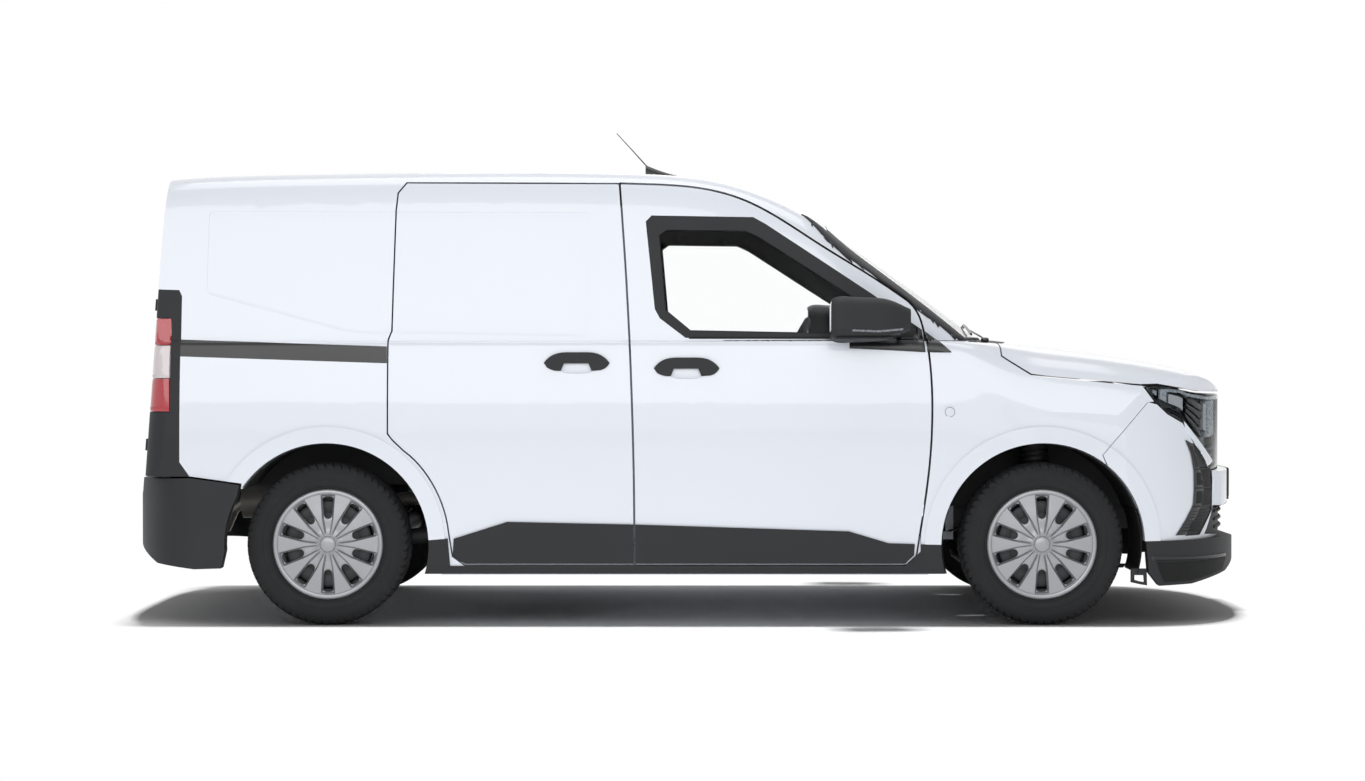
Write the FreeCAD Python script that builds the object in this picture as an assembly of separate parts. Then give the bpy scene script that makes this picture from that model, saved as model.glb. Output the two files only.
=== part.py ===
import FreeCAD, Part
import math
import os

# Compact panel van, millimetres. +X is forward, +Y is the left side, +Z is up.
# The origin lies on the ground below the middle of the outline.

V = FreeCAD.Vector

# Main sizes
WHEELBASE = 2700.0
REAR_OVERHANG = 790.0
FRONT_OVERHANG = 830.0
BODY_WIDTH = 1800.0
ROOF_HEIGHT = 1745.0
BELT_HEIGHT = 1078.0
SILL_HEIGHT = 190.0
TYRE_RADIUS = 306.0
TYRE_WIDTH = 195.0
RIM_RADIUS = 196.0
TRACK = 1550.0

# Wall thicknesses and gaps
WALL = 50.0
ROOF_WALL = 30.0
PANEL_GAP = 6.0
DOOR_GAP = 8.0
FRAME_GAP = 6.0
FRAME_DEPTH = 44.0
GLASS = 5.0
SEAT_GAP = 0.3
PLATE_GAP = 0.8

# Body form
SIDE_BULGE_HEIGHT = 720.0
SIDE_LOWER_TUCK = 24.0
SIDE_UPPER_TUCK = 26.0
TUMBLEHOME = 0.10
TUMBLE_CURVE = 0.00009
ROOF_CORNER = 95.0
ROOF_CROWN = 30.0
SCREEN_CROWN = 105.0
BELT_CORNER = 26.0
BONNET_CORNER = 150.0
BONNET_CROWN = 36.0
REAR_LEAN = 0.0732
REAR_CORNER = 95.0
NOSE_LENGTH = 600.0
NOSE_POWER = 2.8

# Wheel arches
ARCH_RADIUS = 384.0
LINER_RADIUS = 379.0
LINER_WALL = 5.0
LINER_INNER_Y = 478.0
FLARE_RADIUS = 446.0

# Load space and cab
LOAD_FLOOR = 545.0
CAB_FLOOR = 330.0
FLOOR_WALL = 30.0

# Fittings
TRIM = 6.0
GLASS_INSET = 5.0
ROOF_SEAM = 690.0
SCUTTLE_SWEEP = 2700.0
MIRROR_REACH = 150.0
MIRROR_HEIGHT = 178.0
SPINDLE = 20.0
COVER_SLOTS = 10
KINGPIN_FOOT_Y = 680.0
KINGPIN_FOOT_Z = 200.0
KINGPIN_HEAD_Y = 590.0
KINGPIN_HEAD_Z = 690.0
BALL_RADIUS = 15.0
ARM_TOP = KINGPIN_FOOT_Z - BALL_RADIUS - SEAT_GAP
REAR_GAP = 12.0
REAR_DOOR_DEPTH = 160.0
REAR_DOOR_Y = 795.0
PLATE_Z = 700.0
PLINTH = 6.0
SEAT_X = 1190.0
GRILLE_HALF = 430.0
GRILLE_BARS = 7
LIP_TOP = 320.0
STEER_TILT = 25.0
STEER_RADIUS = 185.0
DRIVER_Y = 370.0

# Places worked out from the sizes above
LENGTH = REAR_OVERHANG + WHEELBASE + FRONT_OVERHANG
TAIL = -LENGTH / 2
NOSE = LENGTH / 2
XR = TAIL + REAR_OVERHANG
XF = XR + WHEELBASE
HALF = BODY_WIDTH / 2
HUB = TYRE_RADIUS
WHEEL_Y = TRACK / 2
REAR_FACE = TAIL + 114.0
DOOR_GRIP = (XF - 1344, BELT_HEIGHT - 106)
SLIDE_GRIP = (XR + 942, BELT_HEIGHT - 86)
B_POST = XF - 1562.0
BODY_NOSE = NOSE - 60.0


def box(x0, x1, y0, y1, z0, z1):
    return Part.makeBox(x1 - x0, y1 - y0, z1 - z0, V(x0, y0, z0))


def cyl_y(radius, x, z, y0, y1):
    return Part.makeCylinder(radius, y1 - y0, V(x, y0, z), V(0, 1, 0))


def tube(radius, points):
    # Straight runs with a ball at each inner corner.
    body = None
    for a, b in zip(points, points[1:]):
        run = Part.makeCylinder(radius, (b - a).Length, a, b - a)
        body = run if body is None else body.fuse(run)
    for p in points[1:-1]:
        body = body.fuse(Part.makeSphere(radius, p))
    return body


def polygon(points):
    return Part.Face(Part.makePolygon(points + [points[0]]))


def prism_xz(points, y0, y1):
    return polygon([V(x, y0, z) for x, z in points]).extrude(V(0, y1 - y0, 0))


def prism_yz(points, x0, x1):
    return polygon([V(x0, y, z) for y, z in points]).extrude(V(x1 - x0, 0, 0))


def round_wire(points, radius):
    edges = []
    count = len(points)
    starts = []
    ends = []
    mids = []
    for i in range(count):
        before = points[i - 1]
        here = points[i]
        after = points[(i + 1) % count]
        a = (before - here).normalize()
        b = (after - here).normalize()
        turn = math.acos(max(-1.0, min(1.0, a.dot(b))))
        room = 0.45 * min((before - here).Length, (after - here).Length)
        reach = min(radius / math.tan(turn / 2), room)
        own = reach * math.tan(turn / 2)
        axis = (a + b).normalize()
        centre = here + axis * (own / math.sin(turn / 2))
        starts.append(here + a * reach)
        ends.append(here + b * reach)
        mids.append(centre - axis * own)
    for i in range(count):
        edges.append(Part.Arc(starts[i], mids[i], ends[i]).toShape())
        edges.append(Part.LineSegment(ends[i], starts[(i + 1) % count]).toShape())
    return Part.Wire(edges)


def mirrored(shape):
    return shape.mirror(V(0, 0, 0), V(0, 1, 0))


def pair(shape):
    return Part.makeCompound([shape, mirrored(shape)])


def along(points, x):
    # A smooth curve through the points, with slopes taken from their neighbours.
    if x <= points[0][0]:
        return points[0][1]
    if x >= points[-1][0]:
        return points[-1][1]
    i = 0
    while points[i + 1][0] < x:
        i += 1
    slopes = []
    for j in (i, i + 1):
        lo = max(j - 1, 0)
        hi = min(j + 1, len(points) - 1)
        slopes.append((points[hi][1] - points[lo][1]) / (points[hi][0] - points[lo][0]))
    x0, z0 = points[i]
    x1, z1 = points[i + 1]
    h = x1 - x0
    t = (x - x0) / h
    a = (1 + 2 * t) * (1 - t) ** 2 * z0
    b = t * (1 - t) ** 2 * h * slopes[0]
    c = t * t * (3 - 2 * t) * z1
    d = t * t * (t - 1) * h * slopes[1]
    return a + b + c + d


# Centre line of roof and windscreen: distance from the front axle, height from the roof's top
SCREEN_FOOT = XF - 164
ROOF_LINE = [(XR - 760, ROOF_HEIGHT - 44), (XR - 480, ROOF_HEIGHT - 20), (XR + 0, ROOF_HEIGHT - 7),
             (XF - 2050, ROOF_HEIGHT), (XF - 1640, ROOF_HEIGHT - 4), (XF - 1290, ROOF_HEIGHT - 22),
             (XF - 1050, ROOF_HEIGHT - 77), (XF - 870, ROOF_HEIGHT - 148), (XF - 758, ROOF_HEIGHT - 232),
             (XF - 461, ROOF_HEIGHT - 440), (SCREEN_FOOT, ROOF_HEIGHT - 661), (XF - 60, ROOF_HEIGHT - 742)]
BONNET_LINE = [(XF - 500, BELT_HEIGHT), (XF - 250, BELT_HEIGHT), (XF - 130, BELT_HEIGHT + 2),
               (XF - 46, BELT_HEIGHT - 8), (XF + 192, BELT_HEIGHT - 36), (XF + 429, BELT_HEIGHT - 70),
               (XF + 607, BELT_HEIGHT - 112), (XF + 690, BELT_HEIGHT - 152), (XF + 760, BELT_HEIGHT - 200),
               (XF + 850, BELT_HEIGHT - 270)]
BELT_PLAN = [(XR - 800, HALF - 38), (XF - 1400, HALF - 38), (XF - 800, HALF - 50), (XF - 430, HALF - 84),
             (XF - 60, HALF - 140)]
BONNET_BLEND = [(XF - 480, 0.0), (XF - 330, 0.12), (XF - 100, 0.9), (XF + 20, 1.0), (XF + 900, 1.0)]
SCREEN_BLEND = [(XF - 1500, 0.0), (XF - 1100, 0.15), (XF - 700, 0.85), (XF - 450, 1.0), (XF, 1.0)]


def section(side, top, z_low, corner):
    # Half a cross section: up the side, round the corner, over the top to the middle.
    y_corner, z_corner, crown = top
    points = []
    steps = 6
    for i in range(steps):
        z = z_low + (z_corner - corner - z_low) * i / steps
        points.append((side(z), z))
    a = (side(z_corner - corner), z_corner - corner)
    b_y = y_corner - corner
    b = (b_y, z_corner + crown * (1 - (b_y / y_corner) ** 2))
    for i in range(5):
        t = i / 4
        y = (1 - t) ** 2 * a[0] + 2 * t * (1 - t) * y_corner + t * t * b[0]
        z = (1 - t) ** 2 * a[1] + 2 * t * (1 - t) * z_corner + t * t * b[1]
        points.append((y, z))
    for i in range(1, 7):
        y = b_y * (1 - i / 6)
        points.append((y, z_corner + crown * (1 - (y / y_corner) ** 2)))
    return points


def lower_side(z, inset):
    # Half the width of the body below the belt, which bulges at half height.
    if z < SIDE_BULGE_HEIGHT:
        drop = (z - SIDE_BULGE_HEIGHT) / (SIDE_BULGE_HEIGHT - SILL_HEIGHT)
        return HALF - inset - SIDE_LOWER_TUCK * drop * drop
    rise = (z - SIDE_BULGE_HEIGHT) / (BELT_HEIGHT - SIDE_BULGE_HEIGHT)
    return HALF - inset - SIDE_UPPER_TUCK * rise * rise


def upper_side(x, z, inset):
    # Half the width above the belt, which leans in towards the roof.
    rise = z - BELT_HEIGHT
    return along(BELT_PLAN, x) - inset - TUMBLEHOME * rise - TUMBLE_CURVE * rise * abs(rise)


def lower_section(x, inset, roof_inset):
    blend = along(BONNET_BLEND, x)
    corner = BELT_CORNER + (BONNET_CORNER - BELT_CORNER) * blend - inset * 0.3
    crown = BONNET_CROWN * blend

    def side(z):
        return lower_side(z, inset)

    z_corner = along(BONNET_LINE, x) - roof_inset - crown
    return section(side, (side(z_corner), z_corner, crown), SILL_HEIGHT - inset, corner)


def upper_section(x, inset, roof_inset):
    blend = along(SCREEN_BLEND, x)
    crown = ROOF_CROWN + (SCREEN_CROWN - ROOF_CROWN) * blend

    def side(z):
        return upper_side(x, z, inset)

    z_corner = along(ROOF_LINE, x) - roof_inset - crown
    corner = ROOF_CORNER - inset * 0.3
    return section(side, (side(z_corner), z_corner, crown), BELT_HEIGHT - 270, corner)


def skin(stations, half_section):
    # A solid whose side and top are one smooth surface, with a flat floor and flat ends.
    rows = []
    for x in stations:
        half = half_section(x)
        row = [V(x, -y, z) for y, z in half]
        row += [V(x, y, z) for y, z in reversed(half[:-1])]
        rows.append(row)
    surface = Part.BSplineSurface()
    surface.interpolate(rows)
    face = surface.toShape()
    corners = [rows[0][0], rows[0][-1], rows[-1][-1], rows[-1][0]]
    ends = {0: [], 1: [], 2: [], 3: []}
    for edge in face.Edges:
        middle = edge.valueAt((edge.FirstParameter + edge.LastParameter) / 2)
        if abs(middle.x - stations[0]) < 0.01:
            ends[0].append(edge)
        elif abs(middle.x - stations[-1]) < 0.01:
            ends[1].append(edge)
        elif middle.y < 0:
            ends[2].append(edge)
        else:
            ends[3].append(edge)
    back = Part.LineSegment(corners[0], corners[1]).toShape()
    front = Part.LineSegment(corners[3], corners[2]).toShape()
    caps = [Part.Face(Part.Wire(Part.__sortEdges__(ends[0] + [back])))]
    caps.append(Part.Face(Part.Wire(Part.__sortEdges__(ends[1] + [front]))))
    caps.append(Part.Face(Part.Wire(Part.__sortEdges__(ends[2] + ends[3] + [back, front]))))
    shell = Part.makeShell([face] + caps)
    shell.sewShape()
    solid = Part.Solid(shell)
    solid.fix(0.01, 0.01, 0.1)
    if solid.Volume < 0:
        solid.reverse()
    return solid


def spread(start, end, step):
    count = max(2, round((end - start) / step))
    return [start + (end - start) * i / count for i in range(count + 1)]


def nose_plan(tip, depth, half, inset, facing=1):
    # A rounded end seen from above, as a block that reaches far past the other end.
    points = []
    count = 16
    a = depth - inset
    b = half - inset
    for i in range(count + 1):
        angle = math.pi * (i / count - 0.5)
        x = tip - facing * (depth - a * abs(math.cos(angle)) ** (2 / NOSE_POWER))
        y = b * math.copysign(abs(math.sin(angle)) ** (2 / NOSE_POWER), angle)
        points.append(V(x, y, 0))
    curve = Part.BSplineCurve()
    curve.interpolate(points)
    right = V(tip - facing * (LENGTH + 200), points[0].y, 0)
    left = V(tip - facing * (LENGTH + 200), points[-1].y, 0)
    edges = [curve.toShape(), Part.LineSegment(points[-1], left).toShape(),
             Part.LineSegment(left, right).toShape(), Part.LineSegment(right, points[0]).toShape()]
    return Part.Face(Part.Wire(edges)).extrude(V(0, 0, 2000))


def tail_plan(inset):
    # The leaning tail with its rounded upright corners, as a block that reaches far forward.
    x = REAR_FACE - 850 * REAR_LEAN + inset
    half = HALF + 2 - inset
    wire = round_wire([V(x, -half, 0), V(x, half, 0), V(NOSE + 300, half, 0), V(NOSE + 300, -half, 0)],
                      REAR_CORNER)
    return Part.Face(wire).extrude(V(2000 * REAR_LEAN, 0, 2000))


def body_block(inset, roof_inset):
    # The whole outer form of the van, moved inwards by the given amounts.
    lower = skin(spread(TAIL - 60, NOSE + 60, 150), lambda x: lower_section(x, inset, roof_inset))
    upper = skin(spread(TAIL - 40, XF - 70 - inset * 0.6, 110),
                 lambda x: upper_section(x, inset, roof_inset))
    block = lower.fuse(upper)
    block = block.common(nose_plan(BODY_NOSE, NOSE_LENGTH, HALF + 4, inset))
    return block.common(tail_plan(inset))


def grown(segments, gap):
    # The same outline with each corner moved outwards, so that every side moves by the gap.
    loop = [point for run in segments for point in run]
    count = len(loop)
    area = sum(loop[i - 1][0] * loop[i][1] - loop[i][0] * loop[i - 1][1] for i in range(count))
    turn = 1 if area > 0 else -1
    moved = []
    for i in range(count):
        before = V(loop[i][0] - loop[i - 1][0], loop[i][1] - loop[i - 1][1], 0).normalize()
        following = loop[(i + 1) % count]
        after = V(following[0] - loop[i][0], following[1] - loop[i][1], 0).normalize()
        n1 = V(before.y, -before.x, 0) * turn
        n2 = V(after.y, -after.x, 0) * turn
        shift = (n1 + n2) * (gap / max(0.4, 1 + n1.dot(n2)))
        moved.append((loop[i][0] + shift.x, loop[i][1] + shift.y))
    result = []
    for run in segments:
        result.append(moved[:len(run)])
        moved = moved[len(run):]
    return result


def slab(segments, y0, y1, grow=0.0):
    # A slab across the van whose side outline is drawn by straight lines and smooth curves.
    if grow:
        segments = grown(segments, grow)
    edges = []
    last = segments[-1][-1]
    for run in segments:
        points = [V(last[0], y0, last[1])] + [V(x, y0, z) for x, z in run]
        if len(points) == 2:
            edges.append(Part.LineSegment(points[0], points[1]).toShape())
        else:
            curve = Part.BSplineCurve()
            curve.interpolate(points)
            edges.append(curve.toShape())
        last = run[-1]
    return Part.Face(Part.Wire(edges)).extrude(V(0, y1 - y0, 0))


def right_half(shape):
    return shape.common(box(TAIL - 200, NOSE + 200, -HALF - 300, 0, -100, ROOF_HEIGHT + 300))


# Outlines of the doors, as runs of points: x from the front axle or the door post, z
FAR = -HALF - 120
NEAR = -450.0


def front_door_outline():
    b = B_POST + DOOR_GAP / 2
    return [[(b + 21, 387), (b + 3, BELT_HEIGHT - 10), (b - 36, ROOF_HEIGHT - 80)],
            [(b - 34, ROOF_HEIGHT - 74)],
            [(XF - 1420, ROOF_HEIGHT - 80), (XF - 1295, ROOF_HEIGHT - 92), (XF - 1138, ROOF_HEIGHT - 133),
             (XF - 1008, ROOF_HEIGHT - 199), (XF - 838, ROOF_HEIGHT - 309), (XF - 682, ROOF_HEIGHT - 404),
             (XF - 509, ROOF_HEIGHT - 518)],
            [(XF - 464, BELT_HEIGHT + 88), (XF - 449, BELT_HEIGHT + 34), (XF - 432, BELT_HEIGHT - 73),
             (XF - 423, BELT_HEIGHT - 245), (XF - 432, BELT_HEIGHT - 459), (XF - 453, BELT_HEIGHT - 631),
             (XF - 481, SILL_HEIGHT + 75)],
            [(XF - 518, SILL_HEIGHT + 42)], [(b + 21, SILL_HEIGHT + 42)]]


def sliding_door_outline():
    b = B_POST - DOOR_GAP / 2
    r = FLARE_RADIUS + 18
    turns = [math.radians(a) for a in (44, 32, 20, 6)]
    arc = [(XR + r * math.cos(a), HUB + r * math.sin(a)) for a in turns]
    return [[(b + 21, 387)],
            [(b + 3, BELT_HEIGHT - 10), (b - 36, ROOF_HEIGHT - 80)], [(b - 38, ROOF_HEIGHT - 74)],
            [(XR + 293, ROOF_HEIGHT - 71)], [(XR + 263, ROOF_HEIGHT - 109)], [(XR + 256, ROOF_HEIGHT - 181)],
            [(XR + 246, BELT_HEIGHT + 34)], [(XR + 233, BELT_HEIGHT)], [(XR + 233, HUB + 420)],
            [(XR + 250, HUB + 398)], [(XR + 293, HUB + 357)], arc, [(XR + 476, SILL_HEIGHT + 74)],
            [(XR + 520, SILL_HEIGHT + 42)], [(b + 21, SILL_HEIGHT + 42)]]


def window_outline():
    return [[(XF - 1464, BELT_HEIGHT + 117)], [(XF - 1499, ROOF_HEIGHT - 217)],
            [(XF - 1477, ROOF_HEIGHT - 194)], [(XF - 1091, ROOF_HEIGHT - 200)],
            [(XF - 1044, ROOF_HEIGHT - 226)], [(XF - 635, ROOF_HEIGHT - 496)],
            [(XF - 470, BELT_HEIGHT + 50)], [(XF - 474, BELT_HEIGHT + 8)], [(XF - 1348, BELT_HEIGHT + 8)],
            [(XF - 1445, BELT_HEIGHT + 82)]]


def glass_outline():
    return [[(XF - 1424, BELT_HEIGHT + 112)], [(XF - 1449, ROOF_HEIGHT - 270)],
            [(XF - 1420, ROOF_HEIGHT - 248)], [(XF - 1120, ROOF_HEIGHT - 252)],
            [(XF - 1070, ROOF_HEIGHT - 275)], [(XF - 700, ROOF_HEIGHT - 512)],
            [(XF - 690, BELT_HEIGHT + 22)], [(XF - 1330, BELT_HEIGHT + 34)]]


def rear_door_outline(y_near, grow):
    # Half of the tail opening, seen from behind, for the right side.
    top = ROOF_HEIGHT - 77 + grow
    low = 566 - grow
    return [(-y_near, low), (-REAR_DOOR_Y - grow, low), (-REAR_DOOR_Y - grow, BELT_HEIGHT),
            (-REAR_DOOR_Y + 62 - grow, top - 32), (-REAR_DOOR_Y + 95 - grow, top), (-y_near, top)]


def bonnet_outline():
    return [[(XF - 152, ROOF_HEIGHT)], [(XF - 152, BELT_HEIGHT - 58)], [(XF - 127, BELT_HEIGHT - 75)],
            [(XF - 44, BELT_HEIGHT - 127)], [(XF + 24, BELT_HEIGHT - 136)], [(XF + 363, BELT_HEIGHT - 166)],
            [(XF + 430, BELT_HEIGHT - 164)], [(XF + 614, BELT_HEIGHT - 195)],
            [(NOSE + 50, BELT_HEIGHT - 205)], [(NOSE + 50, ROOF_HEIGHT)]]


def lamp_outline():
    return [[(XF + 381, BELT_HEIGHT - 168 - PANEL_GAP)], [(XF + 430, BELT_HEIGHT - 166 - PANEL_GAP)],
            [(XF + 614, BELT_HEIGHT - 197 - PANEL_GAP)], [(NOSE + 40, BELT_HEIGHT - 207 - PANEL_GAP)],
            [(NOSE + 40, BELT_HEIGHT - 490)], [(XF + 660, BELT_HEIGHT - 498)],
            [(XF + 595, BELT_HEIGHT - 398)],
            [(XF + 538, BELT_HEIGHT - 310)], [(XF + 473, BELT_HEIGHT - 275)],
            [(XF + 430, BELT_HEIGHT - 237)]]


def bumper_outline():
    return [[(XF + 396, BELT_HEIGHT - 234)], [(XF + 430, BELT_HEIGHT - 237 - PANEL_GAP)],
            [(XF + 473, BELT_HEIGHT - 275 - PANEL_GAP)], [(XF + 538, BELT_HEIGHT - 310 - PANEL_GAP)],
            [(XF + 595, BELT_HEIGHT - 398 - PANEL_GAP)], [(XF + 660, BELT_HEIGHT - 498 - PANEL_GAP)],
            [(NOSE + 40, BELT_HEIGHT - 490 - PANEL_GAP)], [(NOSE + 40, LIP_TOP)], [(XF + 396, LIP_TOP)],
            [(XF + 372, SILL_HEIGHT + 130)], [(XF + 223, HUB + 339)]]


def tail_bumper_outline():
    return [[(XR - 327, 532)], [(XR - 398, 218)], [(XR - 497, 215)], [(XR - 649, 234)],
            [(TAIL + 40, 291)], [(TAIL, 367)], [(TAIL + 20, 455)], [(TAIL + 50, 500)], [(TAIL + 62, 552)],
            [(XR - 515, 558)]]


def arches():
    # The four round spaces in which the wheels turn.
    cuts = []
    for x in (XR, XF):
        for side in (-1, 1):
            y0 = LINER_INNER_Y if side > 0 else -HALF - 100
            cuts.append(cyl_y(ARCH_RADIUS, x, HUB, y0, y0 + HALF + 100 - LINER_INNER_Y))
    return cuts


class Forms:
    # Offset copies of the outer form, made once and shared by the panels.
    pass


def make_forms():
    f = Forms()
    f.outer = body_block(0, 0)
    f.inner = body_block(WALL, ROOF_WALL)
    f.mid = body_block(WALL + FRAME_GAP, ROOF_WALL)
    f.seal = body_block(WALL + SEAT_GAP, ROOF_WALL + SEAT_GAP)
    f.under = body_block(GLASS_INSET, GLASS_INSET)
    f.glass_in = body_block(GLASS_INSET + GLASS, GLASS_INSET + GLASS)
    f.shell = f.outer.cut(f.inner)
    f.half = right_half(f.shell)
    f.inner_half = right_half(f.inner)
    f.outer_half = right_half(f.outer)
    f.under_half = right_half(f.under)
    f.glass_in_half = right_half(f.glass_in)
    f.proud_half = right_half(body_block(-TRIM, -TRIM))
    f.sill_half = layer(f.proud_half, f.outer_half, slab(sill_outline(), FAR, NEAR))
    f.flares = [layer(f.proud_half, f.inner_half, flare_zone(x)).cut(f.sill_half) for x in (XR, XF)]
    f.side_half = f.half.cut(flare_zone(XR)).cut(flare_zone(XF)).fuse(f.flares)
    return f


def flare_zone(x):
    # The round field about one right wheel in which the body stands out as a flare.
    return cyl_y(FLARE_RADIUS, x, HUB, -HALF - 100, -HALF + 200)


def layer(outside, inside, zone):
    # The part of a thin layer of the side that lies in the given zone.
    return outside.common(zone).cut(inside)


def screen_block():
    side = prism_xz([(XF - 815, ROOF_HEIGHT - 300), (XF - 770, ROOF_HEIGHT - 100),
                     (XF + 80, ROOF_HEIGHT - 100),
                     (XF + 80, BELT_HEIGHT + 9), (XF - 400, BELT_HEIGHT + 9)], -HALF, HALF)
    front = prism_yz([(-575, ROOF_HEIGHT), (575, ROOF_HEIGHT), (600, ROOF_HEIGHT - 250), (715, BELT_HEIGHT),
                      (-715, BELT_HEIGHT), (-600, ROOF_HEIGHT - 250)], XF - 900, XF + 100)
    return side.common(front)


def roof_block(grow=0.0):
    half = ROOF_SEAM + grow
    tail_top = ROOF_HEIGHT - 77 + DOOR_GAP
    step = REAR_FACE + REAR_DOOR_DEPTH + DOOR_GAP
    points = [(TAIL - 50, tail_top), (step, tail_top), (step, ROOF_HEIGHT - 260),
              (XF - 806, ROOF_HEIGHT - 260), (XF - 736, ROOF_HEIGHT + 50), (TAIL - 50, ROOF_HEIGHT + 50)]
    return prism_xz(points, -half, half)


def roof_panel(f):
    # Long shallow grooves stiffen the roof sheet.
    panel = f.shell.common(roof_block())
    for y in (110, 300, 490):
        strip = box(XR - 440, XF - 1330, -y - 32, -y + 32, ROOF_HEIGHT - 200, ROOF_HEIGHT + 50)
        groove = layer(f.outer_half, f.under_half, strip)
        panel = panel.cut(groove).cut(mirrored(groove))
    return panel


def scuttle_block():
    sweep_centre = V(XF - 60 - PANEL_GAP - SCUTTLE_SWEEP, 0, BELT_HEIGHT - 100)
    plan = Part.makeCylinder(SCUTTLE_SWEEP, 400, sweep_centre)
    return plan.common(box(XF - 520, XF, -715, 715, BELT_HEIGHT - 90, BELT_HEIGHT + 3))


def bonnet_block():
    block = slab(bonnet_outline(), -HALF - 100, HALF + 100)
    return block.cut(Part.makeCylinder(SCUTTLE_SWEEP, 900, V(XF - 60 - SCUTTLE_SWEEP, 0, BELT_HEIGHT - 300)))


def column_block():
    return prism_xz([(TAIL - 90, 564), (XR - 515, 564), (XR - 553, 618), (XR - 551, BELT_HEIGHT + 166),
                     (XR - 562, BELT_HEIGHT + 189), (TAIL - 90, BELT_HEIGHT + 200)],
                    -HALF - 100, -REAR_DOOR_Y - DOOR_GAP)


def tail_cut_block():
    return prism_xz([(XR - 318, 538), (XR - 390, 0), (TAIL - 90, 0), (TAIL - 90, 564), (XR - 512, 564)],
                    -HALF - 100, HALF + 100)


def body_side(f):
    # Quarter panel, roof rail, windscreen pillar and sill of one side.
    side = f.side_half
    tail_hole = prism_yz(rear_door_outline(-10, DOOR_GAP), TAIL - 50, REAR_FACE + REAR_DOOR_DEPTH)
    front = box(XF - 449 - DOOR_GAP - 5, NOSE + 100, -HALF - 100, 100, 0, BELT_HEIGHT - 1)
    nose = box(XF - 154 - PANEL_GAP, NOSE + 100, -HALF - 100, 100, 0, ROOF_HEIGHT)
    low = box(TAIL - 100, NOSE + 100, -HALF - 100, HALF + 100, -50, SILL_HEIGHT + 2)
    cutters = [slab(front_door_outline(), FAR, NEAR, DOOR_GAP),
               slab(sliding_door_outline(), FAR, NEAR, PANEL_GAP), tail_hole, roof_block(),
               screen_block(), scuttle_block(), low, tail_cut_block(), column_block(), front, nose,
               stamping(f),
               layer(f.outer_half, f.glass_in_half, slab(rail_outline(), FAR, NEAR))]
    for cutter in cutters + arches():
        side = side.cut(cutter)
    return side


def stamping(f):
    # The shallow pressed field of the blank side, which runs on over the sliding door.
    t = ROOF_HEIGHT
    field = [[(XR - 455, t - 198)], [(XR - 450, t - 184), (XR - 436, t - 179)], [(XR + 970, t - 183)],
             [(XR + 984, t - 188), (XR + 989, t - 202)], [(XR + 983, BELT_HEIGHT + 30)],
             [(XR + 978, BELT_HEIGHT + 19), (XR + 966, BELT_HEIGHT + 14)], [(XR + 243, BELT_HEIGHT + 27)],
             [(XR + 75, BELT_HEIGHT + 34), (XR - 33, BELT_HEIGHT + 61)], [(XR - 428, BELT_HEIGHT + 167)],
             [(XR - 450, BELT_HEIGHT + 178), (XR - 458, BELT_HEIGHT + 197)]]
    return layer(f.outer_half, f.under_half, slab(field, FAR, NEAR))


def rail_outline():
    z = BELT_HEIGHT
    return [[(XR - 553, z + 2)], [(XR + 234, z - 24)], [(XR + 234, z - 88)], [(XR - 553, z - 62)]]


def slide_rail(f):
    rail = layer(f.outer_half, f.glass_in_half, slab(rail_outline(), FAR, NEAR))
    return rail.common(box(TAIL, XR + 226, -HALF - 50, 0, 0, ROOF_HEIGHT)).cut(column_block())


def front_wing(f):
    wing = f.side_half.common(box(XF - 452 - DOOR_GAP, NOSE + 100, -HALF - 100, 0, 0, BELT_HEIGHT - 3))
    nose = prism_xz([(XF + 220, HUB + 339), (XF + 393, BELT_HEIGHT - 234),
                     (XF + 430, BELT_HEIGHT - 231), (XF + 381, BELT_HEIGHT - 162),
                     (NOSE + 90, BELT_HEIGHT - 162), (NOSE + 90, 0), (XF + 360, 0), (XF + 360, HUB)],
                    -HALF - 100, HALF + 100)
    low = box(TAIL, NOSE, -HALF - 100, HALF, -50, SILL_HEIGHT + 2)
    cutters = [slab(front_door_outline(), FAR, NEAR, DOOR_GAP), nose, low, scuttle_block(),
               slab(lamp_outline(), -HALF - 100, 0, PANEL_GAP),
               slab(bonnet_outline(), -HALF - 100, HALF + 100, PANEL_GAP)]
    for cutter in cutters + arches():
        wing = wing.cut(cutter)
    return max(wing.Solids, key=lambda s: s.Volume)


def front_door(f):
    door = f.half.common(slab(front_door_outline(), FAR, NEAR))
    recess = layer(f.outer_half, f.glass_in_half, slab(window_outline(), FAR, NEAR))
    for cutter in (recess, slab(glass_outline(), FAR, NEAR), roof_block(PANEL_GAP), cup(f, *DOOR_GRIP)):
        door = door.cut(cutter)
    return door


def door_glass(f):
    return layer(f.under_half, f.glass_in_half, slab(window_outline(), FAR, NEAR, -2))


def mirror_head():
    # Housing with round corners that swells behind the glass and tapers forward, on its arm.
    shape = ((XF - 806, 0.90), (XF - 794, 1.0), (XF - 730, 1.04), (XF - 650, 1.0), (XF - 570, 0.82),
             (XF - 510, 0.5))
    loops = [round_wire(mirror_loop(x, scale), 44 * scale) for x, scale in shape]
    head = Part.makeLoft(loops, True)
    arm = Part.makeCylinder(24, 150, V(XF - 640, -HALF - 20, BELT_HEIGHT + 22), V(0, 1, 0.1))
    return head, arm


def mirror_loop(x, scale):
    yc = -(HALF + MIRROR_REACH / 2 + 12)
    zc = BELT_HEIGHT + 74
    hy = MIRROR_REACH / 2 * scale
    hz = MIRROR_HEIGHT / 2 * scale
    return [V(x, yc - hy, zc - hz * 0.7), V(x, yc + hy, zc - hz), V(x, yc + hy, zc + hz * 0.8),
            V(x, yc - hy, zc + hz)]


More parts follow.
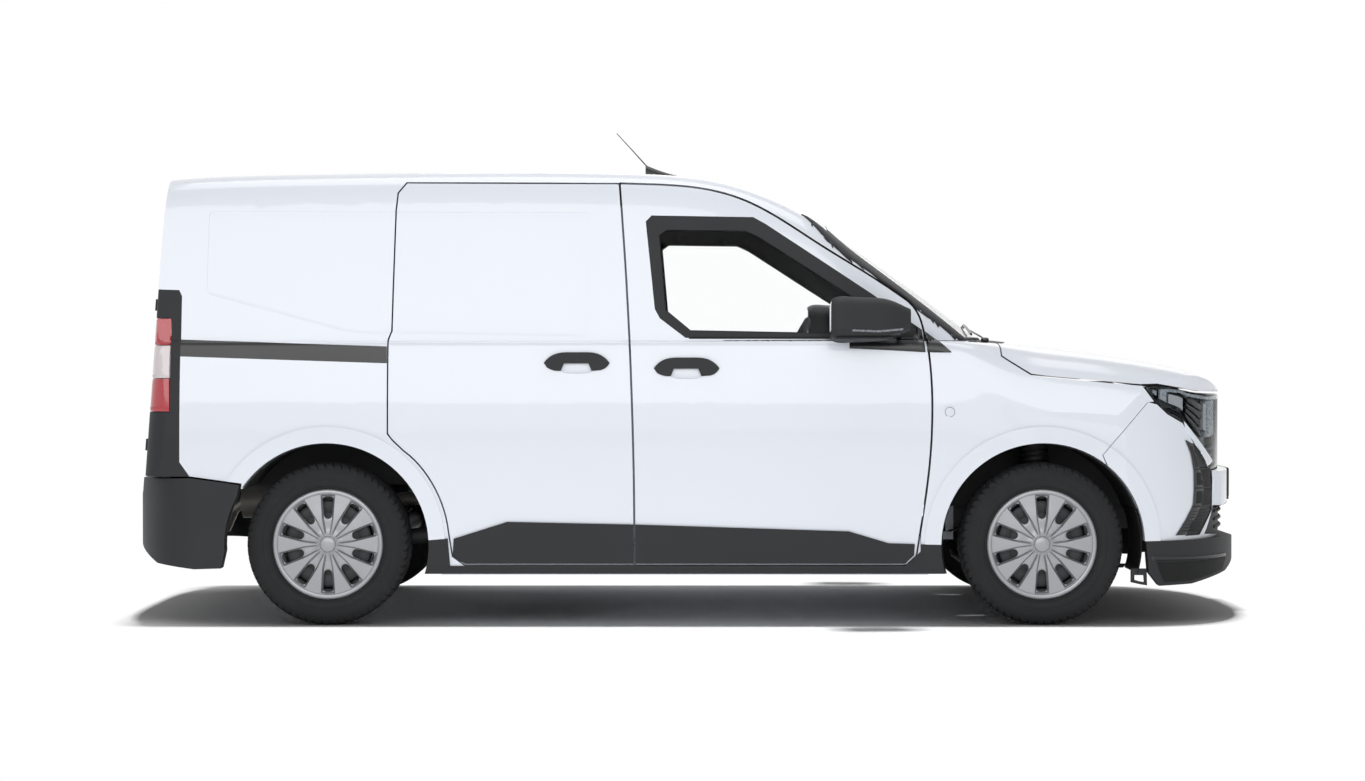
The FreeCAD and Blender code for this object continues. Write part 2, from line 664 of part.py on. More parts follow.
def grip(f, x, z):
    # A long oval bar handle, open below its middle where the hand goes in.
    bar = slab([[(x - 124, z)], [(x - 80, z + 34), (x, z + 40), (x + 80, z + 34), (x + 124, z)],
                [(x + 110, z - 18), (x + 86, z - 28)], [(x + 56, z - 30)], [(x + 44, z - 2)],
                [(x - 48, z - 2)], [(x - 60, z - 30)], [(x - 88, z - 28), (x - 112, z - 17)]], FAR, NEAR)
    return layer(f.proud_half, f.outer_half, bar)


def cup(f, x, z):
    # The hollow behind the handle's bar.
    field = slab([[(x - 50, z + 24), (x, z + 29), (x + 50, z + 24), (x + 74, z)],
                  [(x + 50, z - 36), (x, z - 41), (x - 50, z - 36), (x - 74, z)]], FAR, NEAR)
    return layer(f.outer_half, f.glass_in_half, field)


def door_trim(f):
    # Window surround, mirror, handle and the lower cladding, which all ride on the front door.
    surround = slab(window_outline(), FAR, NEAR, -0.5).cut(slab(glass_outline(), FAR, NEAR))
    frame = layer(f.outer_half, f.under_half, surround)
    cladding = [[(B_POST + DOOR_GAP / 2 + 21, 383)], [(XF - 732, 357)], [(XF - 582, 312)],
                [(XF - 484, 309)], [(XF - 486, SILL_HEIGHT + 77)], [(XF - 520, SILL_HEIGHT + 44)],
                [(B_POST + DOOR_GAP / 2 + 21, SILL_HEIGHT + 44)]]
    low = layer(f.proud_half, f.outer_half, slab(cladding, FAR, NEAR))
    head, arm = mirror_head()
    patch = layer(f.proud_half, f.outer_half,
                  slab([[(XF - 720, BELT_HEIGHT + 5)], [(XF - 478, BELT_HEIGHT - 14)],
                        [(XF - 500, BELT_HEIGHT + 60)], [(XF - 620, BELT_HEIGHT + 130)]], FAR, NEAR))
    mirror = head.fuse([arm.cut(f.outer_half), patch])
    return Part.makeCompound([frame, low, mirror, grip(f, *DOOR_GRIP)])


def sliding_door(f):
    door = f.half.common(slab(sliding_door_outline(), FAR, NEAR))
    return door.cut(stamping(f)).cut(cup(f, *SLIDE_GRIP))


def sliding_trim(f):
    b = B_POST - DOOR_GAP / 2
    cladding = [[(b + 21, 383)], [(XR + 680, 393)], [(XR + 478, 329)], [(XR + 474, SILL_HEIGHT + 72)],
                [(XR + 522, SILL_HEIGHT + 44)], [(b + 21, SILL_HEIGHT + 44)]]
    return Part.makeCompound([layer(f.proud_half, f.outer_half, slab(cladding, FAR, NEAR)),
                              grip(f, *SLIDE_GRIP)])


def sill_outline():
    return [[(XR + 360, 322)], [(XR + 456, 330)], [(XR + 464, SILL_HEIGHT + 36)],
            [(XF - 515, SILL_HEIGHT + 36)], [(XF - 462, SILL_HEIGHT + 90)], [(XF - 462, 308)],
            [(XF - 360, 306)],
            [(XF - 360, SILL_HEIGHT + 3)], [(XR + 360, SILL_HEIGHT + 3)]]


def sill_trim(f):
    trim = f.sill_half
    for cutter in arches():
        trim = trim.cut(cutter)
    return trim


def rear_door(f):
    # Each rear door has a pressed field above the handle, where a window can be.
    door = f.half.common(prism_yz(rear_door_outline(REAR_GAP / 2, 0), TAIL - 50,
                                  REAR_FACE + REAR_DOOR_DEPTH))
    far = -REAR_DOOR_Y + 100
    near = -REAR_GAP - 50
    field = [(near, BELT_HEIGHT + 42), (far, BELT_HEIGHT + 42), (far + 30, ROOF_HEIGHT - 180),
             (near, ROOF_HEIGHT - 170)]
    return door.cut(layer(f.outer_half, f.under_half, prism_yz(field, TAIL - 50, REAR_FACE + 120)))


def tail_x(z):
    return REAR_FACE + (z - 850) * REAR_LEAN


def rear_trim(handle):
    # Two hinge knuckles outside the panel, and on one door the handle moulding.
    pieces = []
    for z in (680.0, BELT_HEIGHT + 133):
        x = tail_x(z)
        leaf = box(x - 12, x - 0.0, -REAR_DOOR_Y + 4, -REAR_DOOR_Y + 90, z - 22, z + 22)
        leaf.rotate(V(x, 0, z), V(0, 1, 0), math.degrees(math.atan(REAR_LEAN)))
        pieces.append(leaf)
    if handle:
        z = 830.0
        x = tail_x(z)
        bar = box(x - 26, x, -250, -70, z - 40, z + 40)
        plinth = box(tail_x(PLATE_Z) - PLINTH, tail_x(PLATE_Z), -660, -140, PLATE_Z - 55, PLATE_Z + 55)
        plinth.rotate(V(tail_x(PLATE_Z), 0, PLATE_Z), V(0, 1, 0), math.degrees(math.atan(REAR_LEAN)))
        bar.rotate(V(x, 0, z), V(0, 1, 0), math.degrees(math.atan(REAR_LEAN)))
        pieces += [bar, plinth]
    return Part.makeCompound(pieces)


def tyre(side, x):
    w = TYRE_WIDTH / 2
    r = TYRE_RADIUS
    b = RIM_RADIUS
    profile = [(b, -w + 24), (b + 16, -w + 8), (b + 48, -w), (r - 12, -w + 14),
               (r, -w + 48), (r, w - 48), (r - 12, w - 14),
               (b + 48, w), (b + 22, w - 8), (b + 14, w - 17), (b, w - 17)]
    face = polygon([V(px, py, 0) for px, py in profile])
    ring = face.revolve(V(0, 0, 0), V(0, 1, 0), 360)
    if side < 0:
        ring = mirrored(ring)
    ring.translate(V(x, side * WHEEL_Y, HUB))
    return ring


def wheel(side, x):
    # Steel rim with its dished cover, which has ten openings, drawn for the left and turned for the right.
    w = TYRE_WIDTH / 2
    profile = [(RIM_RADIUS, -w + 20), (RIM_RADIUS, w - 16), (RIM_RADIUS + 12, w - 16),
               (RIM_RADIUS + 13, w - 11),
               (RIM_RADIUS - 10, w - 9), (RIM_RADIUS - 40, w - 16), (90, w - 12), (60, w - 6), (0, w - 4),
               (0, w - 40), (60, w - 40), (70, w - 22), (140, w - 30), (RIM_RADIUS - 16, w - 30),
               (RIM_RADIUS - 16, -w + 20)]
    body = polygon([V(px, py, 0) for px, py in profile]).revolve(V(0, 0, 0), V(0, 1, 0), 360)
    hub = Part.makeCylinder(62, w - 10, V(0, -30, 0), V(0, 1, 0))
    body = body.fuse(hub).cut(Part.makeCylinder(SPINDLE + SEAT_GAP, 62, V(0, -31, 0), V(0, 1, 0)))
    slot_low = math.radians(9)
    slot_high = math.radians(13)
    for i in range(COVER_SLOTS):
        points = []
        for radius, half in ((78, slot_low), (166, slot_high), (166, -slot_high), (78, -slot_low)):
            points.append(V(radius * math.sin(half), 0, radius * math.cos(half)))
        opening = Part.Face(round_wire(points, 14)).extrude(V(0, 120, 0))
        opening.rotate(V(0, 0, 0), V(0, 1, 0), i * 360 / COVER_SLOTS)
        body = body.cut(opening)
    if side < 0:
        body = mirrored(body)
    body.translate(V(x, side * WHEEL_Y, HUB))
    return body


def knuckle():
    # Hub carrier with its spindle, the leaning strut and the lower ball stud, for the right side.
    foot = V(XF, -KINGPIN_FOOT_Y, KINGPIN_FOOT_Z)
    head = V(XF, -KINGPIN_HEAD_Y, KINGPIN_HEAD_Z)
    line = (head - foot).normalize()
    carrier = cyl_y(48, XF, HUB, -WHEEL_Y + 68, -WHEEL_Y + 118)
    spindle = cyl_y(SPINDLE, XF, HUB, -WHEEL_Y - 20, -WHEEL_Y + 100)
    strut = Part.makeCylinder(22, 460, foot + line * 20, line)
    spring = Part.makeCylinder(52, 88, foot + line * 392, line)
    ball = Part.makeSphere(BALL_RADIUS, foot)
    stud = Part.makeCylinder(BALL_RADIUS - 3, 40, foot)
    return carrier.fuse([spindle, strut, spring, ball, stud])


def subframe(f):
    cross = box(XF - 70, XF + 110, -330, 330, 170, 235)
    arms = []
    for s in (-1, 1):
        plate = [V(XF - 60, s * 325, ARM_TOP - 16), V(XF + 90, s * 325, ARM_TOP - 16),
                 V(XF + 36, s * 664, ARM_TOP - 16), V(XF - 36, s * 664, ARM_TOP - 16)]
        arms.append(polygon(plate).extrude(V(0, 0, 16)))
        arms.append(Part.makeCylinder(36, 16, V(XF, s * KINGPIN_FOOT_Y, ARM_TOP - 16)))
    rails = [f.inner.common(box(XF - 300, NOSE, s * 400 - 35, s * 400 + 35, 340, 430)) for s in (-1, 1)]
    posts = [box(XF + 50, XF + 100, s * 345 - 35, s * 345 + 35, 230, 345) for s in (-1, 1)]
    return cross.fuse(arms + rails + posts)


def rear_axle():
    beam = cyl_y(38, XR + 190, HUB + 4, -575, 575)
    parts = []
    for s in (-1, 1):
        arm = tube(30, [V(XR + 400, s * 560, HUB + 20), V(XR + 190, s * 575, HUB + 4),
                        V(XR + 20, s * 600, HUB)])
        bush = cyl_y(36, XR + 400, HUB + 20, s * 560 - 45, s * 560 + 45)
        carrier = cyl_y(52, XR, HUB, min(s * 570, s * 690), max(s * 570, s * 690))
        spindle = cyl_y(SPINDLE, XR, HUB, min(s * 600, s * (WHEEL_Y + 20)), max(s * 600, s * (WHEEL_Y + 20)))
        seat = Part.makeCylinder(52, LOAD_FLOOR - FLOOR_WALL - HUB - 10, V(XR + 130, s * 440, HUB + 10))
        pad = box(XR + 90, XR + 200, min(s * 430, s * 520), max(s * 430, s * 520), HUB - 10, HUB + 12)
        bracket = box(XR + 380, XR + 420, s * 560 - 30, s * 560 + 30, HUB + 50, LOAD_FLOOR - FLOOR_WALL)
        parts += [arm, bush, carrier, spindle, seat, pad, bracket]
    return beam.fuse(parts)


def liner(x, z_wall):
    # The roof of one wheel house with its inner wall, for the right side.
    y_in = -LINER_INNER_Y
    y_out = -HALF + WALL + 4
    hollow = cyl_y(LINER_RADIUS, x, HUB, y_out - 1, y_in - LINER_WALL)
    roof = cyl_y(ARCH_RADIUS, x, HUB, y_out, y_in).cut(hollow)
    return roof.common(box(x - 500, x + 500, -HALF, 0, z_wall, ROOF_HEIGHT))


def floor_pan(f):
    load = f.mid.common(box(TAIL, B_POST - 60, -HALF, HALF, LOAD_FLOOR - FLOOR_WALL, LOAD_FLOOR))
    cab = f.mid.common(box(B_POST - 60, XF - 300, -HALF, HALF, CAB_FLOOR - FLOOR_WALL, CAB_FLOOR))
    step = f.mid.common(box(B_POST - 90, B_POST - 60, -HALF, HALF, CAB_FLOOR - FLOOR_WALL, LOAD_FLOOR))
    sills = []
    for s in (-1, 1):
        y0 = min(s * 760, s * HALF)
        y1 = max(s * 760, s * HALF)
        low = f.inner.common(box(XR + 395, XF - 395, y0, y1, SILL_HEIGHT + 5, SILL_HEIGHT + 30))
        high = f.mid.common(box(XR + 395, XF - 395, y0, y1, SILL_HEIGHT + 30, CAB_FLOOR))
        stand = f.mid.common(box(XR + 395, B_POST - 60, y0, y1, CAB_FLOOR - 5, LOAD_FLOOR - 10))
        sills += [low, high, stand]
    low = LOAD_FLOOR - FLOOR_WALL
    high = LOAD_FLOOR + 35
    lip = prism_xz([(tail_x(low) + WALL - 10, low), (tail_x(high) + WALL + 25, low),
                    (tail_x(high) + WALL + 25, high), (tail_x(high) + WALL - 10, high)],
                   -REAR_DOOR_Y + 60, REAR_DOOR_Y - 60)
    seal = f.seal.common(lip)
    floor = load.fuse([cab, step, seal] + sills)
    for cutter in arches() + [bulkhead_block(SEAT_GAP)]:
        floor = floor.cut(cutter)
    return floor


def firewall(f):
    wall = f.mid.common(box(XF - 330, XF - 300, -HALF, HALF, CAB_FLOOR, BELT_HEIGHT))
    for cutter in arches():
        wall = wall.cut(cutter)
    return wall


def bulkhead_block(grow):
    # The bulkhead stands in a groove of the load floor.
    return box(B_POST - 110 - grow, B_POST - 90 + grow, -HALF, HALF, LOAD_FLOOR - 10 - grow, ROOF_HEIGHT)


def bulkhead():
    # A flat wall with the outline of the room inside the panels.
    inset = WALL + PLATE_GAP
    lower = wall_line(B_POST - 100, LOAD_FLOOR - 10, BELT_HEIGHT + 100, inset)
    upper = upper_section(B_POST - 100, inset, ROOF_WALL + PLATE_GAP)
    half = lower + [(y, z) for y, z in upper if z > BELT_HEIGHT + 100]
    outline = half[:-1] + [(-y, z) for y, z in half[::-1]]
    return prism_yz(outline, B_POST - 110, B_POST - 90)


def wall_line(x, low, top, inset):
    # The side wall's line at one station, with a ledge just below the belt.
    ledge = BELT_HEIGHT - 58
    lower = [(lower_side(z, inset), z) for z in (low + (ledge - low) * i / 5 for i in range(6))]
    start = ledge + 12
    upper = [(upper_side(x, z, inset), z) for z in (start + (top - start) * i / 4 for i in range(5))]
    return lower + [(min(upper[0][0], lower[-1][0]), start)] + upper[1:]


def post():
    # The door post stands behind the joint of the two side doors, and they shut against it.
    outside = wall_line(B_POST, CAB_FLOOR, ROOF_HEIGHT - ROOF_CORNER - 60, WALL + PLATE_GAP)
    inside = [(y - FRAME_DEPTH, z) for y, z in outside]
    loop = [(-y, z) for y, z in outside + inside[::-1]]
    return prism_yz(loop, B_POST - 58, B_POST + 60)


def seat(y):
    # One front seat on its base; its back leans towards the bulkhead.
    x = XF - SEAT_X
    base = box(x - 170, x + 190, y - 170, y + 170, CAB_FLOOR, 520)
    cushion = box(x - 210, x + 270, y - 250, y + 250, 520, 640)
    back = box(x - 280, x - 160, y - 240, y + 240, 600, 1230)
    head = box(x - 260, x - 170, y - 130, y + 130, 1225, 1420)
    for piece in (back, head):
        piece.rotate(V(x - 220, y, 620), V(0, 1, 0), -14)
    return base.fuse([cushion, back, head])


def steering_column(radius):
    angle = math.radians(STEER_TILT)
    centre = V(XF - 910, DRIVER_Y, BELT_HEIGHT - 80)
    axis = V(-math.cos(angle), 0, math.sin(angle))
    return Part.makeCylinder(radius, 330, centre - axis * 350, axis)


def dashboard(f):
    profile = [(XF - 330, 620), (XF - 330, BELT_HEIGHT - 40), (XF - 420, BELT_HEIGHT - 34),
               (XF - 600, BELT_HEIGHT - 60),
               (XF - 640, BELT_HEIGHT - 120), (XF - 600, 700), (XF - 520, 620)]
    return f.mid.common(prism_xz(profile, -HALF + 72, HALF - 72)).cut(steering_column(36))


def steering_wheel():
    angle = math.radians(STEER_TILT)
    centre = V(XF - 910, DRIVER_Y, BELT_HEIGHT - 80)
    axis = V(-math.cos(angle), 0, math.sin(angle))
    rim = Part.makeTorus(STEER_RADIUS, 16, centre, axis)
    hub = Part.makeCylinder(62, 46, centre - axis * 40, axis)
    column = steering_column(36)
    up = V(math.sin(angle), 0, math.cos(angle))
    side = V(0, 1, 0)
    spokes = [Part.makeCylinder(13, STEER_RADIUS, centre, d) for d in (side, side * -1, up * -1)]
    return rim.fuse([hub, column] + spokes)


def engine():
    block = box(XF - 190, XF + 330, -290, 290, 300, 800)
    shaft = cyl_y(14, XF, HUB, -632, 632)
    gearbox = cyl_y(60, XF, HUB + 10, -240, 240)
    feet = [box(XF + 100, XF + 160, min(s * 285, s * 365), max(s * 285, s * 365), 360, 400) for s in (-1, 1)]
    return block.fuse([shaft, gearbox] + feet)


def fuel_tank():
    return box(XR + 500, XR + 1040, -560, 60, 250, LOAD_FLOOR - FLOOR_WALL)


def exhaust():
    pipe = tube(27, [V(XF - 190, 130, 340), V(XF - 290, 130, 265), V(XF - 900, 130, 265),
                     V(XR + 620, 250, 265),
                     V(XR + 480, 250, 265), V(XR + 320, 250, 420), V(XR - 60, 250, 420)])
    end = tube(27, [V(XR - 480, 250, 420), V(XR - 540, 300, 380), V(XR - 590, 380, 290)])
    silencer = Part.makeCylinder(80, 440, V(XR - 490, 250, 420), V(1, 0, 0))
    hanger = box(XR - 300, XR - 270, 235, 265, 480, LOAD_FLOOR - FLOOR_WALL)
    pipe = pipe.cut(box(XF - 190, XF + 200, 0, 300, 200, 500))
    return pipe.fuse([end, silencer, hanger])


def antenna(f):
    base = prism_xz([(XR + 1180, ROOF_HEIGHT - 8), (XR + 1196, ROOF_HEIGHT + 50),
                     (XR + 1312, ROOF_HEIGHT + 38),
                     (XR + 1370, ROOF_HEIGHT - 8)], -34, 34)
    foot = V(XR + 1202, 0, ROOF_HEIGHT + 40)
    tip = V(XR + 1071, 0, ROOF_HEIGHT + 180)
    return base.cut(f.outer).fuse(Part.makeCylinder(3, (tip - foot).Length, foot, tip - foot))


def wipers(f):
    blades = []
    for y, length in ((-520.0, 560.0), (80.0, 620.0)):
        blades.append(Part.makeCylinder(7, length, V(XF - 178, y, BELT_HEIGHT + 22), V(-0.12, 1, 0.02)))
        blades.append(Part.makeCylinder(16, 40, V(XF - 178, y, BELT_HEIGHT - 14)))
    pairs = [blades[0].fuse(blades[1]), blades[2].fuse(blades[3])]
    return Part.makeCompound([blade.cut(f.outer) for blade in pairs])


def air_slot(grow=0.0):
    # The tall curved air slot in each corner of the front bumper.
    return slab([[(XF + 550, LIP_TOP + 14)], [(XF + 620, BELT_HEIGHT - 634)],
                 [(XF + 632, BELT_HEIGHT - 570), (XF + 616, BELT_HEIGHT - 500),
                  (XF + 580, BELT_HEIGHT - 392)],
                 [(XF + 640, BELT_HEIGHT - 420), (XF + 678, BELT_HEIGHT - 480),
                  (XF + 688, BELT_HEIGHT - 560)],
                 [(XF + 686, BELT_HEIGHT - 654)], [(XF + 618, LIP_TOP + 14)]],
                -HALF - 100, -HALF + 480, grow)


def slot_insert(f):
    lamp_room = slab(lamp_outline(), -HALF - 100, HALF + 100, SEAT_GAP)
    return layer(f.under_half, f.glass_in_half, air_slot(-SEAT_GAP)).cut(lamp_room)


def front_bumper(f):
    whole = slab(bumper_outline(), -HALF - 100, HALF + 100)
    flare = f.flares[1].common(whole)
    bumper = f.shell.common(whole)
    for zone in (flare_zone(XF), mirrored(flare_zone(XF))):
        bumper = bumper.cut(zone)
    bumper = bumper.fuse([flare, mirrored(flare)])
    band = nose_plan(NOSE - 21, NOSE_LENGTH + 39, HALF + 2, 0)
    band = band.cut(nose_plan(BODY_NOSE, NOSE_LENGTH, HALF + 4, 10))
    band = band.common(box(XF + 640, NOSE, -600, 600, 440, 572))
    bumper = bumper.fuse(band)
    slot = air_slot()
    for cutter in arches() + [slot, mirrored(slot)]:
        bumper = bumper.cut(cutter)
    return bumper


def valance():
    side = slab([[(XF + 389, LIP_TOP)], [(NOSE - 45, LIP_TOP)], [(NOSE, 270), (NOSE - 4, 240)],
                 [(XF + 738, 189)], [(XF + 575, 154)], [(XF + 440, 150)], [(XF + 400, 200)]],
                -HALF - 100, HALF + 100)
    outer = nose_plan(NOSE, NOSE_LENGTH + 60, HALF + 2, 0)
    inner = nose_plan(NOSE, NOSE_LENGTH + 60, HALF + 2, 60)
    lip = side.common(outer.cut(inner))
    for cutter in arches():
        lip = lip.cut(cutter)
    return lip


def grille(f):
    # A frame across the nose with its level bars.
    z0 = BELT_HEIGHT - 510
    z1 = BELT_HEIGHT - 214
    zone = f.shell.common(box(XF + 500, NOSE, -GRILLE_HALF, GRILLE_HALF, z0, z1))
    step = (z1 - z0) / GRILLE_BARS
    for i in range(GRILLE_BARS):
        z = z0 + step * (i + 0.5)
        zone = zone.cut(box(XF + 400, NOSE, -GRILLE_HALF + 14, GRILLE_HALF - 14, z - step * 0.28,
                            z + step * 0.28))
    return zone.cut(slab(bumper_outline(), -HALF - 100, HALF + 100))


def headlamp(f):
    # The lamp with the rubber stop on which the closed bonnet lies.
    lamp_zone = slab(lamp_outline(), -HALF - 100, HALF + 100)
    lamp = f.half.common(lamp_zone)
    stop = f.half.common(box(XF + 470, XF + 520, -HALF, 0, BELT_HEIGHT - 250, BELT_HEIGHT - 100))
    stop = stop.cut(slab(bonnet_outline(), -HALF - 100, HALF + 100, SEAT_GAP))
    lamp = lamp.fuse(stop)
    return lamp.cut(box(0, NOSE + 90, -GRILLE_HALF, HALF, 0, ROOF_HEIGHT))


def rear_bumper(f):
    block = slab(tail_bumper_outline(), -HALF - 100, HALF + 100)
    outer = nose_plan(TAIL, 330, HALF + 6, 0, -1)
    inner = nose_plan(TAIL, 330, HALF + 6, 70, -1)
    bumper = block.common(outer.cut(inner))
    room = f.inner.common(box(TAIL, XR, -HALF, HALF, LOAD_FLOOR - FLOOR_WALL, ROOF_HEIGHT))
    for cutter in arches() + [room]:
        bumper = bumper.cut(cutter)
    beam = box(TAIL + 60, REAR_FACE + 100, -500, 500, LOAD_FLOOR - FLOOR_WALL - 60, LOAD_FLOOR - FLOOR_WALL)
    return bumper.fuse(beam)


def corner_trim(f):
    return f.half.common(column_block()).cut(lamp_box())


def lamp_box():
    return box(TAIL, XR - 588, -HALF - 50, -REAR_DOOR_Y, BELT_HEIGHT - 272, BELT_HEIGHT + 84)


def tail_lamp(f):
    return f.half.common(column_block()).common(lamp_box())


def build():
    f = make_forms()
    nodes = {}
    nodes["body_sides"] = pair(body_side(f))
    nodes["door_posts"] = pair(post())
    nodes["roof_panel"] = roof_panel(f)
    nodes["front_wings"] = pair(front_wing(f))
    nodes["scuttle"] = f.shell.common(scuttle_block())
    nodes["windscreen"] = layer(f.under, f.glass_in, screen_block()).cut(roof_block(SEAT_GAP))
    nodes["bonnet"] = f.shell.common(bonnet_block())
    nodes["sliding_doors"] = pair(sliding_door(f))
    nodes["sliding_door_trims"] = pair(sliding_trim(f))
    nodes["sill_claddings"] = pair(sill_trim(f))
    nodes["slide_rails"] = pair(slide_rail(f))
    door = front_door(f)
    trim = door_trim(f)
    glass = door_glass(f)
    tail_door = rear_door(f)
    turned = knuckle()
    nodes["front_door_right"] = door
    nodes["front_door_left"] = mirrored(door)
    nodes["door_trim_right"] = trim
    nodes["door_trim_left"] = mirrored(trim)
    nodes["door_glass_right"] = glass
    nodes["door_glass_left"] = mirrored(glass)
    nodes["rear_door_right"] = tail_door
    nodes["rear_door_left"] = mirrored(tail_door)
    nodes["rear_trim_right"] = rear_trim(False)
    nodes["rear_trim_left"] = mirrored(rear_trim(True))
    nodes["knuckle_right"] = turned
    nodes["knuckle_left"] = mirrored(turned)
    for end, x in (("front", XF), ("rear", XR)):
        for name, s in (("right", -1), ("left", 1)):
            nodes["tyre_" + end + "_" + name] = tyre(s, x)
            nodes["wheel_" + end + "_" + name] = wheel(s, x)
    nodes["front_bumper"] = front_bumper(f)
    nodes["front_valance"] = Part.makeCompound([valance(), pair(slot_insert(f))])
    nodes["grille"] = grille(f)
    nodes["headlamps"] = pair(headlamp(f))
    nodes["rear_bumper"] = rear_bumper(f)
    nodes["corner_trims"] = pair(corner_trim(f))
    nodes["tail_lamps"] = pair(tail_lamp(f))
    nodes["arch_liners"] = Part.makeCompound([pair(liner(XF, 430)),
                                              pair(liner(XR, LOAD_FLOOR - FLOOR_WALL))])
    nodes["floor_pan"] = floor_pan(f)
    nodes["firewall"] = firewall(f)
    nodes["bulkhead"] = bulkhead()
    nodes["seats"] = Part.makeCompound([seat(DRIVER_Y), seat(-DRIVER_Y)])
    nodes["dashboard"] = dashboard(f)
    nodes["steering_wheel"] = steering_wheel()
    nodes["front_subframe"] = subframe(f)
    nodes["rear_axle"] = rear_axle()
    nodes["engine_block"] = engine()
    nodes["fuel_tank"] = fuel_tank()
    nodes["exhaust"] = exhaust()
    nodes["antenna"] = antenna(f)
    nodes["wipers"] = wipers(f)
    return nodes


def main():
    os.makedirs("parts", exist_ok=True)
    for name, shape in build().items():
        print(name, shape.isValid(), len(shape.Solids), round(shape.Volume / 1e6, 2))
        shape.exportStep("parts/" + name + ".step")


if __name__ == "__main__":
    main()
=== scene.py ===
"""Looks of a small panel van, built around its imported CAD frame.

Metres; the van faces +X and stands on z = 0.
"""

import math

import bmesh
import bpy
from mathutils import Matrix, Vector
from mathutils.bvhtree import BVHTree


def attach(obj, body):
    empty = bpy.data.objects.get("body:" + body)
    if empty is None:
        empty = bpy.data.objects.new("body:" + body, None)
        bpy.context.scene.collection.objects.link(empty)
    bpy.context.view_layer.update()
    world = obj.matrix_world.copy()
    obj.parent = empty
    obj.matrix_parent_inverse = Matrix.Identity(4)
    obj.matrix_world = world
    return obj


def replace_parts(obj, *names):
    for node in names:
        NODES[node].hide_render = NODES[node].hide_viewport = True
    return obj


bl_info = {
    "name": "Panel van looks",
    "version": (1, 0, 0),
    "blender": (4, 5, 0),
    "location": "View3D > Sidebar > Van",
    "description": "Finishes, lamps, wheels, seals and cabin for a small panel van",
    "category": "Object",
}

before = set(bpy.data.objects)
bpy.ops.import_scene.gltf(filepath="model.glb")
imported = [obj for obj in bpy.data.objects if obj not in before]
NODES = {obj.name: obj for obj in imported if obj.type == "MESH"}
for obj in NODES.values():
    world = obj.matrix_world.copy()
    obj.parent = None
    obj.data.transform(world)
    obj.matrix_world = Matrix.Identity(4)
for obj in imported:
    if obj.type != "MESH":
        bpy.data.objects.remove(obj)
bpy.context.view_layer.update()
SIDES = {"right": -1, "left": 1}
MM = 0.001


def linear(hex_colour):
    """An sRGB hex colour as Blender's linear colour."""
    values = [int(hex_colour[i:i + 2], 16) / 255 for i in (0, 2, 4)]
    return [v / 12.92 if v <= 0.04045 else ((v + 0.055) / 1.055) ** 2.4 for v in values] + [1.0]


def colour(name, description, hex_colour):
    """A colour property whose default is an sRGB hex value."""
    return bpy.props.FloatVectorProperty(
        name=name, description=description, default=linear(hex_colour), size=4, min=0, max=1, subtype="COLOR")


def length(name, description, metres):
    """A length property in metres."""
    return bpy.props.FloatProperty(
        name=name, description=description, default=metres, unit="LENGTH", precision=4)


class VanColours(bpy.types.PropertyGroup):
    """Colours of the finishes that a user would change"""
    paint: colour("Body paint", "Cool white solid paint under clear coat", "EAEFF8")
    grained: colour("Bumper plastic", "Unpainted grained polypropylene", "1F2023")
    satin: colour("Trim plastic", "Smooth satin black trim", "111215")
    rubber: colour("Tyre rubber", "Carbon black tyre rubber", "17181A")
    cover: colour("Wheel cover", "Silver paint of the wheel covers", "9C9DA1")
    cabin: colour("Cabin plastic", "Moulded dashboard and door linings", "1E1F22")
    cloth: colour("Seat cloth", "Woven seat cloth", "2E3036")
    glass: colour("Window glass", "Faint green tint of float glass", "FDFEFE")
    tail_red: colour("Tail lamp red", "Red of the tail lamp cover", "C23A44")
    floor: colour("Studio floor", "Pale floor and backdrop", "FDFDFD")


class VanSizes(bpy.types.PropertyGroup):
    """Places of the main pieces, which follow the CAD frame"""
    front_axle: length("Front axle", "Place of the front axle along the van", 1.330)
    rear_axle: length("Rear axle", "Place of the rear axle along the van", -1.370)
    half_track: length("Half track", "Middle of a tyre from the middle of the van", 0.775)
    tyre_radius: length("Tyre radius", "Axle height and tyre radius", 0.306)
    half_width: length("Half width", "Middle of the van to its widest skin", 0.900)
    belt: length("Belt height", "Height of the lower edge of the side windows", 1.078)
    roof: length("Roof height", "Height of the roof", 1.745)
    seat_x: length("Seat from the middle", "Seat reference point along the van", 0.140)
    seat_pitch: length("Seat place", "Middle of each seat from the middle of the van", 0.370)


# Finishes

def add_node(owner, kind, inputs=(), **settings):
    """Adds one node to a material or world, sets its properties and fills or links its inputs; returns it."""
    made = owner.node_tree.nodes.new(kind)
    for key, value in settings.items():
        setattr(made, key, value)
    for key, value in dict(inputs).items():
        if isinstance(value, bpy.types.NodeSocket):
            owner.node_tree.links.new(value, made.inputs[key])
        else:
            made.inputs[key].default_value = value
    return made


def new_material(name, constants):
    """A material whose surface shader takes these constants on its own sockets."""
    material = bpy.data.materials.new(name)
    material.use_nodes = True
    shader = material.node_tree.nodes["Principled BSDF"]
    for socket, value in constants.items():
        shader.inputs[socket].default_value = value
    return material, shader


def per_mm(size_mm):
    """The texture scale at which one repeat is about that many millimetres."""
    return 1000 / size_mm


def tones(base, spread):
    """A slightly darker and a slightly lighter version of a colour."""
    return [[min(1.0, c * k) for c in base[:3]] + [1.0] for k in (1 - spread, 1 + spread)]


